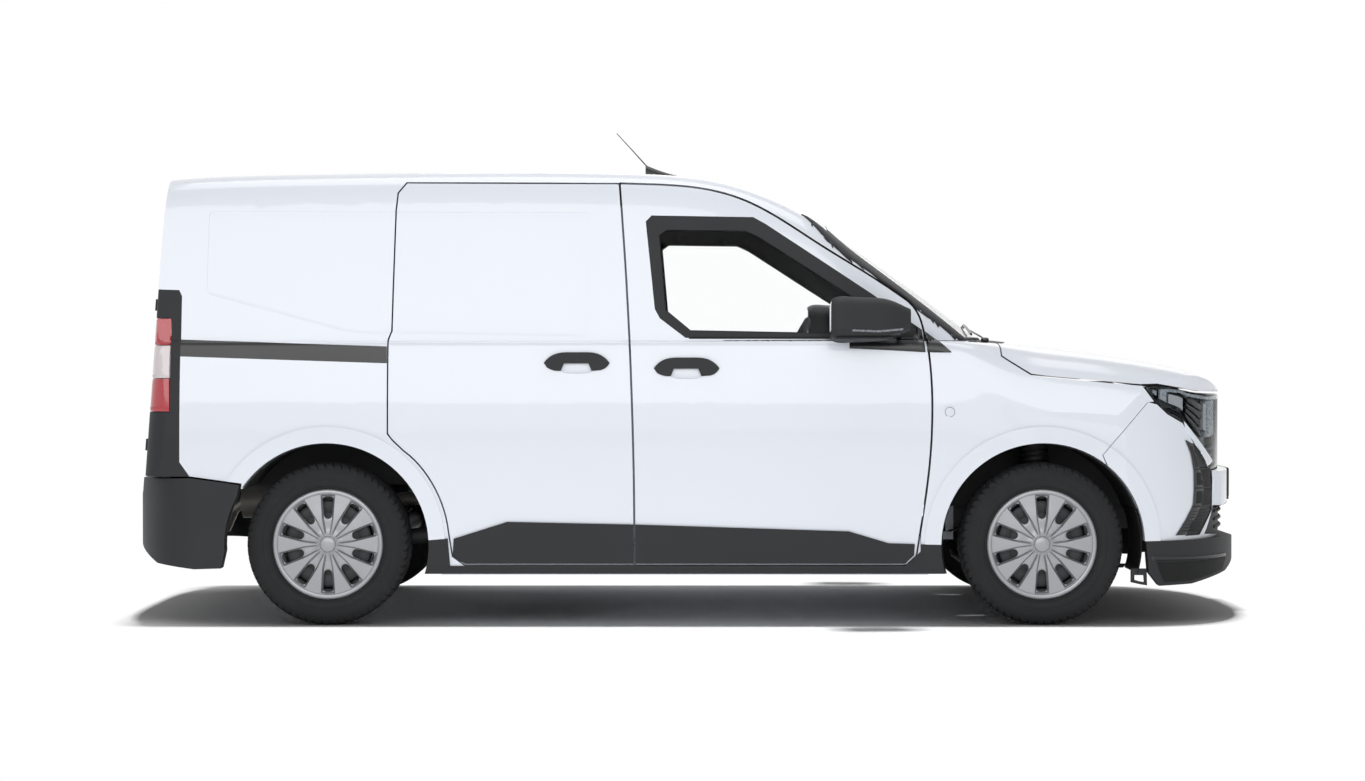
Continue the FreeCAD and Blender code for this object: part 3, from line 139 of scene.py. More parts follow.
def mottle(material, shader, base, patch_mm, spread, rough=None):
    """Slow change of tone over the surface, as moulding flow, handling and thin dust leave it; with a rough
    pair, the same pattern drives the roughness between the two, so that highlights break up a little."""
    place = add_node(material, "ShaderNodeTexCoord")
    noise = add_node(material, "ShaderNodeTexNoise",
                     {"Vector": place.outputs["Object"], "Scale": per_mm(patch_mm), "Detail": 4.0})
    dark, light = tones(base, spread)
    mix = add_node(material, "ShaderNodeMixRGB",
                   {"Fac": noise.outputs["Fac"], "Color1": dark, "Color2": light})
    material.node_tree.links.new(mix.outputs["Color"], shader.inputs["Base Color"])
    if rough:
        span = add_node(material, "ShaderNodeMapRange",
                        {"Value": noise.outputs["Fac"], "To Min": rough[0], "To Max": rough[1]})
        material.node_tree.links.new(span.outputs["Result"], shader.inputs["Roughness"])


def grain(material, shader, grain_mm, depth_mm, kind="ShaderNodeTexNoise", strength=0.5):
    """Fine surface grain as bump, from its real repeat and depth; Voronoi gives cells."""
    place = add_node(material, "ShaderNodeTexCoord")
    pattern = add_node(material, kind, {"Vector": place.outputs["Object"], "Scale": per_mm(grain_mm)})
    height = pattern.outputs["Distance" if kind == "ShaderNodeTexVoronoi" else "Fac"]
    bump = add_node(material, "ShaderNodeBump",
                    {"Height": height, "Distance": depth_mm * MM, "Strength": strength})
    material.node_tree.links.new(bump.outputs["Normal"], shader.inputs["Normal"])


def clear_coated_paint(colours):
    """Solid white base coat under clear lacquer: bright, glossy, with a trace of orange peel."""
    material, shader = new_material("clear_coated_white_paint", {
        "Roughness": 0.34, "IOR": 1.5, "Coat Weight": 0.9, "Coat Roughness": 0.04, "Coat IOR": 1.52})
    mottle(material, shader, colours.paint, 900, 0.012)
    grain(material, shader, 9.0, 0.02, strength=0.12)  # orange peel is 2 to 4 mm; drawn coarser so it shows
    return material


def primed_steel_with_painted_shade(colours):
    """The same paint without lacquer, as on inner panels: flatter, and darkened as painted shade for the
    parts inside and under the van.
    """
    material, shader = new_material("primed_inner_steel_painted_shade", {"Roughness": 0.5, "IOR": 1.5})
    # painted shade: the body paint scaled to 0.72, a shaded copy of it for the inner and under parts
    mottle(material, shader, [c * 0.72 for c in colours.paint[:3]] + [1.0], 300, 0.05)
    grain(material, shader, 5.0, 0.02, strength=0.2)
    return material


def grained_polypropylene(colours):
    """Mass-coloured bumper plastic with a spark-eroded grain: soft grey sheen, no clear highlight."""
    material, shader = new_material("grained_polypropylene", {"IOR": 1.49, "Specular IOR Level": 0.42})
    mottle(material, shader, colours.grained, 160, 0.10, rough=(0.56, 0.68))
    grain(material, shader, 2.2, 0.10, kind="ShaderNodeTexVoronoi", strength=0.35)
    return material


def satin_abs(colours):
    """Smooth moulded ABS: near black, with a tight soft highlight on its edges."""
    material, shader = new_material("satin_moulded_abs", {"IOR": 1.53})
    mottle(material, shader, colours.satin, 220, 0.12, rough=(0.24, 0.34))
    grain(material, shader, 3.0, 0.015, strength=0.15)
    return material


def tread_rubber(colours):
    """Cured tyre rubber: charcoal, dull, a touch lighter where it has been brushed clean."""
    material, shader = new_material("cured_tyre_rubber", {"IOR": 1.52, "Specular IOR Level": 0.35})
    mottle(material, shader, colours.rubber, 45, 0.16, rough=(0.66, 0.84))
    grain(material, shader, 1.6, 0.06, strength=0.35)
    return material


def seal_rubber():
    """Extruded EPDM door seal: matt black with a faint skin; its near-black also serves as painted shade in
    the air slots and under the valance.
    """
    material, shader = new_material("extruded_epdm_seal", {"IOR": 1.5, "Specular IOR Level": 0.3})
    mottle(material, shader, linear("0C0D0E"), 30, 0.2, rough=(0.6, 0.8))
    return material


def silver_paint(colours):
    """Silver lacquer on a moulded wheel cover: fine metal flake under a satin clear coat."""
    material, shader = new_material("flake_silver_lacquer", {
        "Metallic": 0.62, "Coat Weight": 0.35, "Coat Roughness": 0.18})
    mottle(material, shader, colours.cover, 60, 0.03, rough=(0.36, 0.46))
    grain(material, shader, 1.2, 0.01, strength=0.2)  # flake is 0.05 mm; drawn at 1.2 mm so it glints
    return material


def dip_coated_steel():
    """Cathodic dip coat on chassis parts: black, satin, dusty towards the road."""
    material, shader = new_material("dip_coated_steel", {"IOR": 1.5})
    mottle(material, shader, linear("26272A"), 90, 0.25, rough=(0.42, 0.66))
    grain(material, shader, 6.0, 0.05, strength=0.25)
    return material


def turned_steel():
    """Machined brake disc: concentric tool marks and a grey, slightly oxidised face."""
    material, shader = new_material("turned_brake_steel", {"Metallic": 1.0})
    mottle(material, shader, linear("8E8F92"), 25, 0.18, rough=(0.3, 0.5))
    grain(material, shader, 1.5, 0.02, strength=0.3)
    return material


def cast_aluminium():
    """Sand-cast aluminium of the engine and knuckles: pale grey, pitted."""
    material, shader = new_material("cast_aluminium", {"Metallic": 0.85})
    mottle(material, shader, linear("8D8F91"), 40, 0.15, rough=(0.5, 0.7))
    grain(material, shader, 2.5, 0.12, strength=0.4)
    return material


def aluminised_pipe():
    """Aluminised exhaust steel: dull silver with a brown heat stain in patches."""
    material, shader = new_material("aluminised_exhaust_steel", {"Metallic": 0.9})
    mottle(material, shader, linear("84807A"), 70, 0.22, rough=(0.38, 0.6))
    return material


def see_through(name, tint):
    """A clear sheet that bends light little and lets the lamps through to what is behind it."""
    material, shader = new_material(name, {
        "Base Color": tint, "Roughness": 0.0, "IOR": 1.1,
        "Transmission Weight": 1.0, "Specular IOR Level": 0.5})
    tree = material.node_tree
    out = tree.nodes["Material Output"]
    rays = add_node(material, "ShaderNodeLightPath")
    passed = add_node(material, "ShaderNodeBsdfTransparent", {"Color": tint})
    both = add_node(material, "ShaderNodeMixShader", {"Fac": rays.outputs["Is Shadow Ray"]})
    tree.links.new(shader.outputs["BSDF"], both.inputs[1])
    tree.links.new(passed.outputs["BSDF"], both.inputs[2])
    tree.links.new(both.outputs["Shader"], out.inputs["Surface"])
    return material


def float_glass(colours):
    """Tempered float glass: nearly clear, faintly green."""
    return see_through("tempered_float_glass", list(colours.glass))


def ceramic_print():
    """Fired black ceramic border of the bonded panes: deep black under the glass's own gloss."""
    material, shader = new_material("fired_ceramic_print", {
        "Roughness": 0.12, "IOR": 1.52, "Coat Weight": 0.3, "Coat Roughness": 0.03})
    mottle(material, shader, linear("08090A"), 120, 0.1)
    return material


def clear_polycarbonate():
    """Hard-coated lamp cover: clear, with the sharp highlight of moulded polycarbonate."""
    return see_through("clear_moulded_polycarbonate", linear("F4F7F8"))


def enamelled_spring():
    """Epoxy enamel on the coil springs: near black, with the low sheen of a sprayed coat."""
    material, shader = new_material("epoxy_enamelled_spring_steel", {"Specular IOR Level": 0.5})
    mottle(material, shader, linear("141517"), 60, 0.1, rough=(0.32, 0.46))
    return material


def vacuum_chrome():
    """Aluminium vapour on the lamp reflectors and mirror glass: bright and nearly sharp."""
    material, shader = new_material("vapour_coated_reflector", {"Metallic": 1.0})
    mottle(material, shader, linear("D9DBDE"), 20, 0.03, rough=(0.05, 0.12))
    return material


def light_guide():
    """Frosted grey light guide of the headlamp, unlit."""
    material, shader = new_material("frosted_light_guide", {
        "IOR": 1.49, "Transmission Weight": 0.25, "Specular IOR Level": 0.5})
    mottle(material, shader, linear("8B9198"), 12, 0.08, rough=(0.2, 0.35))
    return material


def tail_lens(colours):
    """Red acrylic tail lens with fine optic ribs inside: glows a little where it is thin."""
    material, shader = new_material("red_moulded_acrylic", {
        "Roughness": 0.12, "IOR": 1.49, "Transmission Weight": 0.12,
        "Coat Weight": 0.5, "Coat Roughness": 0.03})
    mottle(material, shader, colours.tail_red, 24, 0.12)
    grain(material, shader, 5.0, 0.2, kind="ShaderNodeTexVoronoi", strength=0.25)
    return material


def clear_lens():
    """Clear acrylic of the reversing and turn lamp over a pale optic."""
    material, shader = new_material("clear_moulded_acrylic", {
        "Roughness": 0.1, "IOR": 1.49, "Transmission Weight": 0.15,
        "Coat Weight": 0.5, "Coat Roughness": 0.03})
    mottle(material, shader, linear("E9DFE1"), 20, 0.04)
    grain(material, shader, 6.0, 0.2, kind="ShaderNodeTexVoronoi", strength=0.25)
    return material


def number_plate_sheet():
    """Blank retro-reflective plate sheet: white, faintly cellular under a smooth film."""
    material, shader = new_material("retroreflective_plate_sheet", {
        "Roughness": 0.4, "IOR": 1.5, "Coat Weight": 0.4, "Coat Roughness": 0.08})
    mottle(material, shader, linear("D9DADC"), 60, 0.03)
    grain(material, shader, 3.0, 0.02, kind="ShaderNodeTexVoronoi", strength=0.3)
    return material


def slush_moulded_skin(colours):
    """Dashboard and lining skin: fine leather-like grain, low sheen."""
    material, shader = new_material("slush_moulded_skin", {"IOR": 1.47, "Specular IOR Level": 0.35})
    mottle(material, shader, colours.cabin, 140, 0.08, rough=(0.55, 0.68))
    grain(material, shader, 3.2, 0.15, kind="ShaderNodeTexVoronoi", strength=0.4)
    return material


def woven_cloth(colours):
    """Flat-woven polyester seat cloth: crossing threads, fuzzy edge light."""
    material, shader = new_material("woven_polyester_cloth", {
        "Roughness": 0.92, "IOR": 1.45, "Sheen Weight": 0.35, "Sheen Roughness": 0.45})
    place = add_node(material, "ShaderNodeTexCoord")
    heights = []
    for axis in ("X", "Z"):  # threads are 0.8 mm apart; drawn at 3 mm so that the weave shows
        heights.append(add_node(material, "ShaderNodeTexWave", {
            "Vector": place.outputs["Object"], "Scale": per_mm(3.0) / 6.28, "Distortion": 0.6},
            bands_direction=axis).outputs["Fac"])
    woven = add_node(material, "ShaderNodeMath", operation="MULTIPLY")
    for i, height in enumerate(heights):
        material.node_tree.links.new(height, woven.inputs[i])
    dark, light = tones(colours.cloth, 0.3)
    mix = add_node(material, "ShaderNodeMixRGB",
                   {"Fac": woven.outputs["Value"], "Color1": dark, "Color2": light})
    bump = add_node(material, "ShaderNodeBump",
                    {"Height": woven.outputs["Value"], "Distance": 0.4 * MM, "Strength": 0.5})
    material.node_tree.links.new(mix.outputs["Color"], shader.inputs["Base Color"])
    material.node_tree.links.new(bump.outputs["Normal"], shader.inputs["Normal"])
    return material


FINISHES = {}  # filled by the finishes operator: a short name for each material


def finish(piece, name, smooth=True):
    """Gives a new piece its finish and smooth shading."""
    piece.data.materials.clear()
    piece.data.materials.append(FINISHES[name])
    if smooth and piece.type == "MESH":
        piece.data.shade_smooth()
    return piece


CAD_FINISH = {
    "paint": ["body_sides", "roof_panel", "front_wings", "bonnet", "sliding_doors", "front_door_right",
              "front_door_left", "rear_door_right", "rear_door_left", "front_bumper"],
    # inner parts take the darkened copy of the body paint, which is painted shade
    "inner": ["door_posts", "floor_pan", "firewall", "bulkhead"],
    "grained": ["sliding_door_trims", "sill_claddings", "door_trim_right", "door_trim_left", "front_valance",
                "rear_bumper", "corner_trims", "arch_liners", "scuttle", "rear_trim_right", "rear_trim_left"],
    "satin": ["slide_rails", "grille", "wipers", "antenna", "headlamps"],
    "glass": ["windscreen", "door_glass_right", "door_glass_left"],
    "tail_red": ["tail_lamps"],
    "rubber": ["tyre_front_right", "tyre_front_left", "tyre_rear_right", "tyre_rear_left"],
    "silver": ["wheel_front_right", "wheel_front_left", "wheel_rear_right", "wheel_rear_left"],
    "steel": ["front_subframe", "rear_axle", "fuel_tank", "knuckle_right", "knuckle_left"],
    "cast": ["engine_block"],
    "pipe": ["exhaust"],
    "skin": ["dashboard", "steering_wheel"],
    "cloth": ["seats"],
}


class VAN_OT_finishes(bpy.types.Operator):
    """Makes every finish and puts one on each CAD node"""
    bl_idname = "van.finishes"
    bl_label = "Finishes"

    def execute(self, context):
        c = context.scene.van_colours
        FINISHES.update(
            paint=clear_coated_paint(c), inner=primed_steel_with_painted_shade(c), grained=grained_polypropylene(c),
            satin=satin_abs(c), rubber=tread_rubber(c), seal=seal_rubber(), silver=silver_paint(c),
            steel=dip_coated_steel(), disc=turned_steel(), cast=cast_aluminium(), pipe=aluminised_pipe(),
            glass=float_glass(c), print=ceramic_print(), lamp=clear_polycarbonate(),
            chrome=vacuum_chrome(), guide=light_guide(), tail_red=tail_lens(c), tail_clear=clear_lens(),
            skin=slush_moulded_skin(c), cloth=woven_cloth(c), plate=number_plate_sheet(),
            spring=enamelled_spring())
        for name, nodes in CAD_FINISH.items():
            for node in nodes:
                finish(NODES[node], name, smooth=False)
        return {"FINISHED"}


# Ways to make a shape

def piece(name, verts, faces, look, body="chassis", crease=32, bevel=0.0):
    """A new mesh piece with outward faces, its finish, eased edges and the CAD body it rides on."""
    mesh = bpy.data.meshes.new(name)
    mesh.from_pydata([tuple(v) for v in verts], [], faces)
    shape = bmesh.new()
    shape.from_mesh(mesh)
    bmesh.ops.remove_doubles(shape, verts=shape.verts, dist=0.02 * MM)
    bmesh.ops.dissolve_degenerate(shape, edges=shape.edges, dist=0.02 * MM)
    bmesh.ops.recalc_face_normals(shape, faces=shape.faces)
    shape.to_mesh(mesh)
    shape.free()
    made = bpy.data.objects.new(name, mesh)
    bpy.context.scene.collection.objects.link(made)
    finish(made, look)
    mesh.set_sharp_from_angle(angle=math.radians(crease))
    if bevel:
        ease = made.modifiers.new("eased_edges", "BEVEL")
        ease.width, ease.segments, ease.limit_method, ease.angle_limit = bevel, 2, "ANGLE", math.radians(28)
        ease.harden_normals = False
    if body:
        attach(made, body)
    return made


def walled(made, thickness, offset=-1.0):
    """Gives an open sheet its wall; an offset of 1 puts it on the outward side."""
    wall = made.modifiers.new("wall", "SOLIDIFY")
    wall.thickness, wall.offset = thickness, offset


def grid_faces(rows, columns, wrap_rows=False, wrap_columns=False):
    """Quads of a grid of points that is stored row by row."""
    return [(r * columns + c, r * columns + (c + 1) % columns,
             (r + 1) % rows * columns + (c + 1) % columns, (r + 1) % rows * columns + c)
            for r in range(rows - (not wrap_rows)) for c in range(columns - (not wrap_columns))]


def round_axle(centre, side, r, turn, y):
    """The point at a radius and turn about an axle, y outward from its middle; turn 0 is straight up."""
    return centre[0] + r * math.sin(turn), centre[1] + side * y, centre[2] + r * math.cos(turn)


def in_metres(points):
    """A profile drawn in millimetres, in metres."""
    return [(r * MM, y * MM) for r, y in points]


def lathe(profile, steps, centre, side):
    """Turns a closed (radius, outward) profile in millimetres about an axle; returns points and faces."""
    profile = in_metres(profile)
    verts = [round_axle(centre, side, r, math.tau * i / steps, y) for i in range(steps) for r, y in profile]
    return verts, grid_faces(steps, len(profile), True, True)


def curve_through(points, per_span):
    """Points of a smooth open curve through the given ones."""
    points = [Vector(p) for p in points]
    ends = [points[0]] + points + [points[-1]]
    out = []
    for p0, p1, p2, p3 in zip(ends, ends[1:], ends[2:], ends[3:]):
        for k in range(per_span):
            t = k / per_span
            out.append(0.5 * (2 * p1 + (p2 - p0) * t + (2 * p0 - 5 * p1 + 4 * p2 - p3) * t * t
                              + (3 * p1 - p0 - 3 * p2 + p3) * t ** 3))
    return out + [points[-1]]


def sweep(path, section, closed=False, up=(0, 0, 1), scale=None):
    """Carries a closed (across, up) section along a path; returns points and faces."""
    path = [Vector(p) for p in path]
    count = len(path)
    verts = []
    for i, p in enumerate(path):
        ahead = path[(i + 1) % count] if closed or i + 1 < count else p
        behind = path[i - 1] if closed or i else p
        along = (ahead - behind).normalized()
        across = along.cross(Vector(up))
        across = across.normalized() if across.length > 1e-6 else Vector((0, 1, 0))
        rise = across.cross(along)
        k = scale(i / max(1, count - 1)) if scale else 1.0
        verts += [p + across * (u * k) + rise * (v * k) for u, v in section]
    faces = grid_faces(count, len(section), closed, True)
    if not closed:
        last = (count - 1) * len(section)
        faces += [tuple(range(len(section))), tuple(range(last, last + len(section)))]
    return verts, faces


def eased(values):
    """A function of 0 to 1 that runs through the values in turn, for sweep's scale."""
    def at(t):
        """The value at a share of the way."""
        place = min(t, 0.9999) * (len(values) - 1)
        low = int(place)
        return values[low] + (values[low + 1] - values[low]) * (place - low)
    return at


def ring_section(radius, sides=12, flat=1.0):
    """A round or flattened section for sweep."""
    return [(radius * math.cos(math.tau * k / sides), flat * radius * math.sin(math.tau * k / sides))
            for k in range(sides)]


def loft(rings, capped=True):
    """Joins closed rings with equal counts of points; returns points and faces."""
    count = len(rings[0])
    faces = grid_faces(len(rings), count, False, True)
    if capped:
        last = (len(rings) - 1) * count
        faces += [tuple(range(count)), tuple(range(last, last + count))]
    return [p for ring in rings for p in ring], faces


def squared(value, power):
    """A sine or cosine pushed towards -1 and 1, which squares the circle that it draws."""
    return math.copysign(abs(value) ** power, value)


def pillow(centre, half, power=0.45, rows=14, columns=28):
    """A closed, softly squared form, as most moulded lumps are; returns points and faces."""
    rings = []
    for r in range(rows + 1):
        a = math.pi * (r / rows - 0.5)
        ring = []
        for c in range(columns):
            b = math.tau * c / columns
            out = squared(math.cos(a), power)
            ring.append((centre[0] + half[0] * out * squared(math.cos(b), power),
                         centre[1] + half[1] * out * squared(math.sin(b), power),
                         centre[2] + half[2] * squared(math.sin(a), power)))
        rings.append(ring)
    return loft(rings, False)


def joined(parts):
    """Several (points, faces) lists as one."""
    verts, faces = [], []
    for v, f in parts:
        faces += [tuple(i + len(verts) for i in face) for face in f]
        verts += v
    return verts, faces


def surface(*nodes):
    """A ray-cast tree over the rest shape of some CAD nodes, in the van's frame."""
    verts, faces = [], []
    for node in nodes:
        made = NODES[node]
        start = len(verts)
        verts += [made.matrix_world @ v.co for v in made.data.vertices]
        faces += [[start + i for i in p.vertices] for p in made.data.polygons]
    return BVHTree.FromPolygons(verts, faces)


def side_cast(tree, side, missing=0.88):
    """Finds the outer face at a point (x, z) of the side view; returns the point and the way out."""
    def cast(x, z):
        found = []
        for dx, dz in ((0, 0), (4, 0), (-4, 0), (0, 4), (0, -4)):  # millimetres; this bridges the shut lines
            start = Vector((x + dx * MM, side * 2.0, z + dz * MM))
            hit = tree.ray_cast(start, Vector((0, -side, 0)), 1.4)[0]
            found += [abs(hit.y)] if hit else []
        return Vector((x, side * (max(found) if found else missing), z)), Vector((0, side, 0))
    return cast


def end_cast(tree, way, missing=2.0):
    """Finds the outer face at a point (y, z) of the front or rear view; way is 1 in front, -1 behind."""
    def cast(y, z):
        hit = tree.ray_cast(Vector((way * 3.0, y, z)), Vector((-way, 0, 0)))[0]
        return Vector((hit.x if hit else way * missing, y, z)), Vector((way, 0, 0))
    return cast


def round_cast(tree, centre, missing=0.3):
    """Finds the outer face at (turn, z) around an upright line; turn 0 is forward, in radians to the left."""
    def cast(turn, z):
        out = Vector((math.cos(turn), math.sin(turn), 0))
        start = Vector((centre[0], centre[1], z))
        hit = tree.ray_cast(start + out * 1.5, -out)[0]
        return (hit if hit else start + out * missing), out
    return cast


SCREEN_TOP = Vector((0.52, 0, 1.56))
SCREEN_DOWN, SCREEN_OUT = Vector((0.816, 0, -0.578)), Vector((0.578, 0, 0.816))


def screen_cast(tree):
    """Finds the outer face of the windscreen at (y, run), where run goes down the slope from the roof."""
    def cast(y, run):
        start = SCREEN_TOP + SCREEN_DOWN * run + Vector((0, y, 0))
        hit = tree.ray_cast(start + SCREEN_OUT * 0.5, -SCREEN_OUT)[0]
        return (hit if hit else start), SCREEN_OUT
    return cast


def resample(line, count):
    """Points spread evenly along a line of (x, z) points."""
    spans = [math.dist(a, b) for a, b in zip(line, line[1:])]
    total = sum(spans)
    out = []
    for k in range(count):
        run = total * k / (count - 1)
        i = 0
        while i < len(spans) - 1 and run > spans[i]:
            run -= spans[i]
            i += 1
        t = min(1.0, run / spans[i])
        (a0, b0), (a1, b1) = line[i], line[i + 1]
        out.append((a0 + (a1 - a0) * t, b0 + (b1 - b0) * t))
    return out


def moulding(cast, upper, lower, low, high, columns=24, rows=6, round_over=0.002):
    """A thin closed piece between two lines of surface points, from low to high off the surface."""
    top, bottom = resample(upper, columns), resample(lower, columns)
    outer, inner = [], []
    for r in range(rows + 1):
        t = r / rows
        for c in range(columns):
            a = top[c][0] + (bottom[c][0] - top[c][0]) * t
            b = top[c][1] + (bottom[c][1] - top[c][1]) * t
            edge = r in (0, rows) or c in (0, columns - 1)
            point, out = cast(a, b)
            outer.append(point + out * (high - (round_over if edge else 0.0)))
            inner.append(point + out * low)
    faces = grid_faces(rows + 1, columns)
    size = len(outer)
    faces += [tuple(size + i for i in face) for face in faces]
    border = (list(range(columns)) + [r * columns + columns - 1 for r in range(1, rows + 1)]
              + [rows * columns + c for c in range(columns - 2, -1, -1)]
              + [r * columns for r in range(rows - 1, 0, -1)])
    faces += [(a, b, b + size, a + size) for a, b in zip(border, border[1:] + border[:1])]
    return outer + inner, faces


def level_band(a0, a1, top, foot):
    """The two edges, for moulding, of a level band from a0 to a1."""
    return [(a0, top), (a1, top)], [(a0, foot), (a1, foot)]


def lining(name, node, low, high, chosen, look, body="chassis", thickness=3 * MM):
    """A thin sheet over the faces of a CAD node that lie in a box and that chosen(middle, normal) accepts."""
    source = NODES[node]
    shape = bmesh.new()
    shape.from_mesh(source.data)
    shape.transform(source.matrix_world)
    for axis in range(3):
        for limit, way in ((low[axis], -1), (high[axis], 1)):
            normal = Vector([way if k == axis else 0 for k in range(3)])
            place = Vector([limit if k == axis else 0 for k in range(3)])
            bmesh.ops.bisect_plane(shape, geom=shape.verts[:] + shape.edges[:] + shape.faces[:],
                                   plane_co=place, plane_no=normal, clear_outer=True)
    shape.normal_update()
    out = [f for f in shape.faces if not chosen(f.calc_center_median(), f.normal)]
    bmesh.ops.delete(shape, geom=out, context="FACES")
    mesh = bpy.data.meshes.new(name)
    shape.to_mesh(mesh)
    shape.free()
    if not mesh.polygons:
        raise RuntimeError("no face of %s lies in the box of %s" % (node, name))
    made = bpy.data.objects.new(name, mesh)
    bpy.context.scene.collection.objects.link(made)
    finish(made, look)
    mesh.set_sharp_from_angle(angle=math.radians(30))
    walled(made, thickness, 1.0)
    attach(made, body)


# Wheels

TREAD_PITCHES = 60
PITCH_STEPS = (0.0, 0.70, 0.76, 0.94)  # where block, wall, groove floor and wall start, as shares of a pitch
GROOVE = 7 * MM
TREAD_CROWN = 0.0000004  # fall of the tread in mm per cubed mm from its middle


def tyre_profile():
    """Half of the tyre from mid tread to bead: (radius, outward, share of the cross groove)."""
    tread = [(0, 0), (4, 0), (4.6, 1), (11, 1), (11.6, 0), (16, 0), (25, 0), (33, 0), (33.6, 1), (41, 1),
             (41.6, 0), (46, 0), (54, 0), (62, 0), (70, 0)]  # (outward, whether it is in a drain)
    half = [((306 - TREAD_CROWN * y ** 3) * MM - (GROOVE if deep else 0), y * MM, 0.0 if deep else 1.0)
            for y, deep in tread]
    side = [(304.5, 76, 1), (301, 82, 1), (296, 86.5, 0.8), (290, 89.5, 0.5), (284, 91.3, 0), (283, 90.6, 0),
            (280, 92, 0), (270, 94.6, 0), (258, 96.2, 0), (247, 96.6, 0), (246, 95.7, 0), (243, 95.7, 0),
            (242, 96.2, 0), (232, 94.4, 0), (224, 91.4, 0), (219, 89.6, 0), (217.5, 91.4, 0),
            (215.5, 91.4, 0), (214, 88.6, 0), (210, 84, 0), (209.5, 80.5, 0), (200, 80.3, 0),
            (196.5, 78.5, 0)]
    return half + [(radius * MM, y * MM, share) for radius, y, share in side]


def tyre(name, centre, side, body):
    """A road tyre with two broad drains, two fine ones and angled cross grooves in every rib."""
    half = tyre_profile()
    ring = [(r, -y, s) for r, y, s in reversed(half[1:])] + half
    verts = []
    for i in range(TREAD_PITCHES):
        for k, share in enumerate(PITCH_STEPS):
            for r, y, cut in ring:
                band = abs(y)
                # The middle rib has fine cuts, the shoulders full grooves, and they lean forward outwards.
                depth = GROOVE * cut * (0.35 if band < 12 * MM else 0.75 if band < 42 * MM else 0.9)
                shift = 0.5 * (band > 22 * MM) + band / (60 * MM)
                a = math.tau * (i + share + shift) / TREAD_PITCHES
                low = r - (depth if k >= 2 else 0.0)
                verts.append(round_axle(centre, side, low, a, y))
    faces = grid_faces(TREAD_PITCHES * len(PITCH_STEPS), len(ring), True, True)
    return piece(name, verts, faces, "rubber", body, crease=40)


COVER_HALF_PITCH = math.radians(18)
OPEN_FROM, OPEN_TO = 96, 182  # radii in mm between which the cover's openings lie
COVER_RADII = [31, 36, 42, 50, 60, 70, 80, 90, 96, 98, 101, 105, 111, 119, 129, 140, 151, 161, 168, 173, 177,
               180, 182, 185, 188, 191]


def opening_width(r):
    """Half width of a cover opening at a radius: a long oval that tapers inwards."""
    if r <= OPEN_FROM or r >= OPEN_TO:
        return 0.0
    body = 14.5 + 6.5 * (r - OPEN_FROM) / (OPEN_TO - OPEN_FROM)
    inner = min(1.0, (r - OPEN_FROM) / 15)
    outer = min(1.0, (OPEN_TO - r) / 9)
    return body * math.sqrt(1 - (1 - inner) ** 2) * math.sqrt(1 - (1 - outer) ** 2)


def valley_width(r):
    """Half width of the sunken valley around an opening, which runs on to the hub."""
    if r < OPEN_FROM:
        return 5.0 + 11.0 * (r - COVER_RADII[0]) / (OPEN_FROM - COVER_RADII[0])
    return 16.0 + 6.0 * (r - OPEN_FROM) / 92


def cover_height(r, across, valley):
    """Outward position of the cover in mm: flat blades that crown outwards, and valleys between them."""
    blade = 84 + 4.5 * math.sin(math.pi * min(1.0, r / 150)) - 3.0 * max(0.0, (r - 150) / 41)
    depth = 13.0 * min(1.0, max(0.0, (r - 28) / 26)) * min(1.0, max(0.0, (190 - r) / 7))
    slope = min(1.0, max(0.0, (across - valley) / 6.5))
    return blade - depth * (1 - slope)


def wheel_cover(name, centre, side, body):
    """The silver cover: ten bevelled blades, ten tapering openings, a rolled rim and a round cap."""
    columns = 8
    gaps = [OPEN_FROM <= (r0 + r1) / 2 <= OPEN_TO for r0, r1 in zip(COVER_RADII, COVER_RADII[1:])]
    faces = [f for n, f in enumerate(grid_faces(len(COVER_RADII), columns))
             if not (gaps[n // (columns - 1)] and n % (columns - 1) == 0)]
    parts = []
    for i in range(20):  # half a blade each, mirrored about the middle of its opening
        middle, way = math.tau * (i // 2) / 10, 1 if i % 2 else -1
        part = []
        for r in COVER_RADII:
            w, v = opening_width(r), valley_width(r)
            pitch = r * math.tan(COVER_HALF_PITCH)
            inner = max(w, 0.0 if OPEN_FROM <= r <= OPEN_TO else v * 0.5)
            for u in (0.0, inner, v - 0.4, v + 2.0, v + 6.0, v + 6.8, (v + 6.8 + pitch) / 2, pitch):
                u = min(u, pitch)
                turn = middle + way * math.atan2(u, r)
                part.append(round_axle(centre, side, r * MM, turn, cover_height(r, u, v) * MM))
        parts.append((part, faces))
    rim = [(190, 81.2), (193, 84.5), (198, 86.3), (203, 85.4), (207, 82.5), (208.6, 79.5), (207, 79.0),
           (200, 81.5), (192, 79.5)]
    parts.append(lathe(rim, 120, centre, side))
    skin = piece(name, *joined(parts), "silver", body, crease=24)
    walled(skin, 2.6 * MM, 0.0)
    cap = [(0, 93.2), (12, 92.9), (22, 91.6), (27.5, 88.8), (29, 85.0), (30, 84.6), (31.5, 86.4),
           (34.5, 86.6), (36.5, 84.4), (36, 79), (0, 79)]
    piece(name + "_cap", *lathe(cap, 64, centre, side), "silver", body)
    return skin


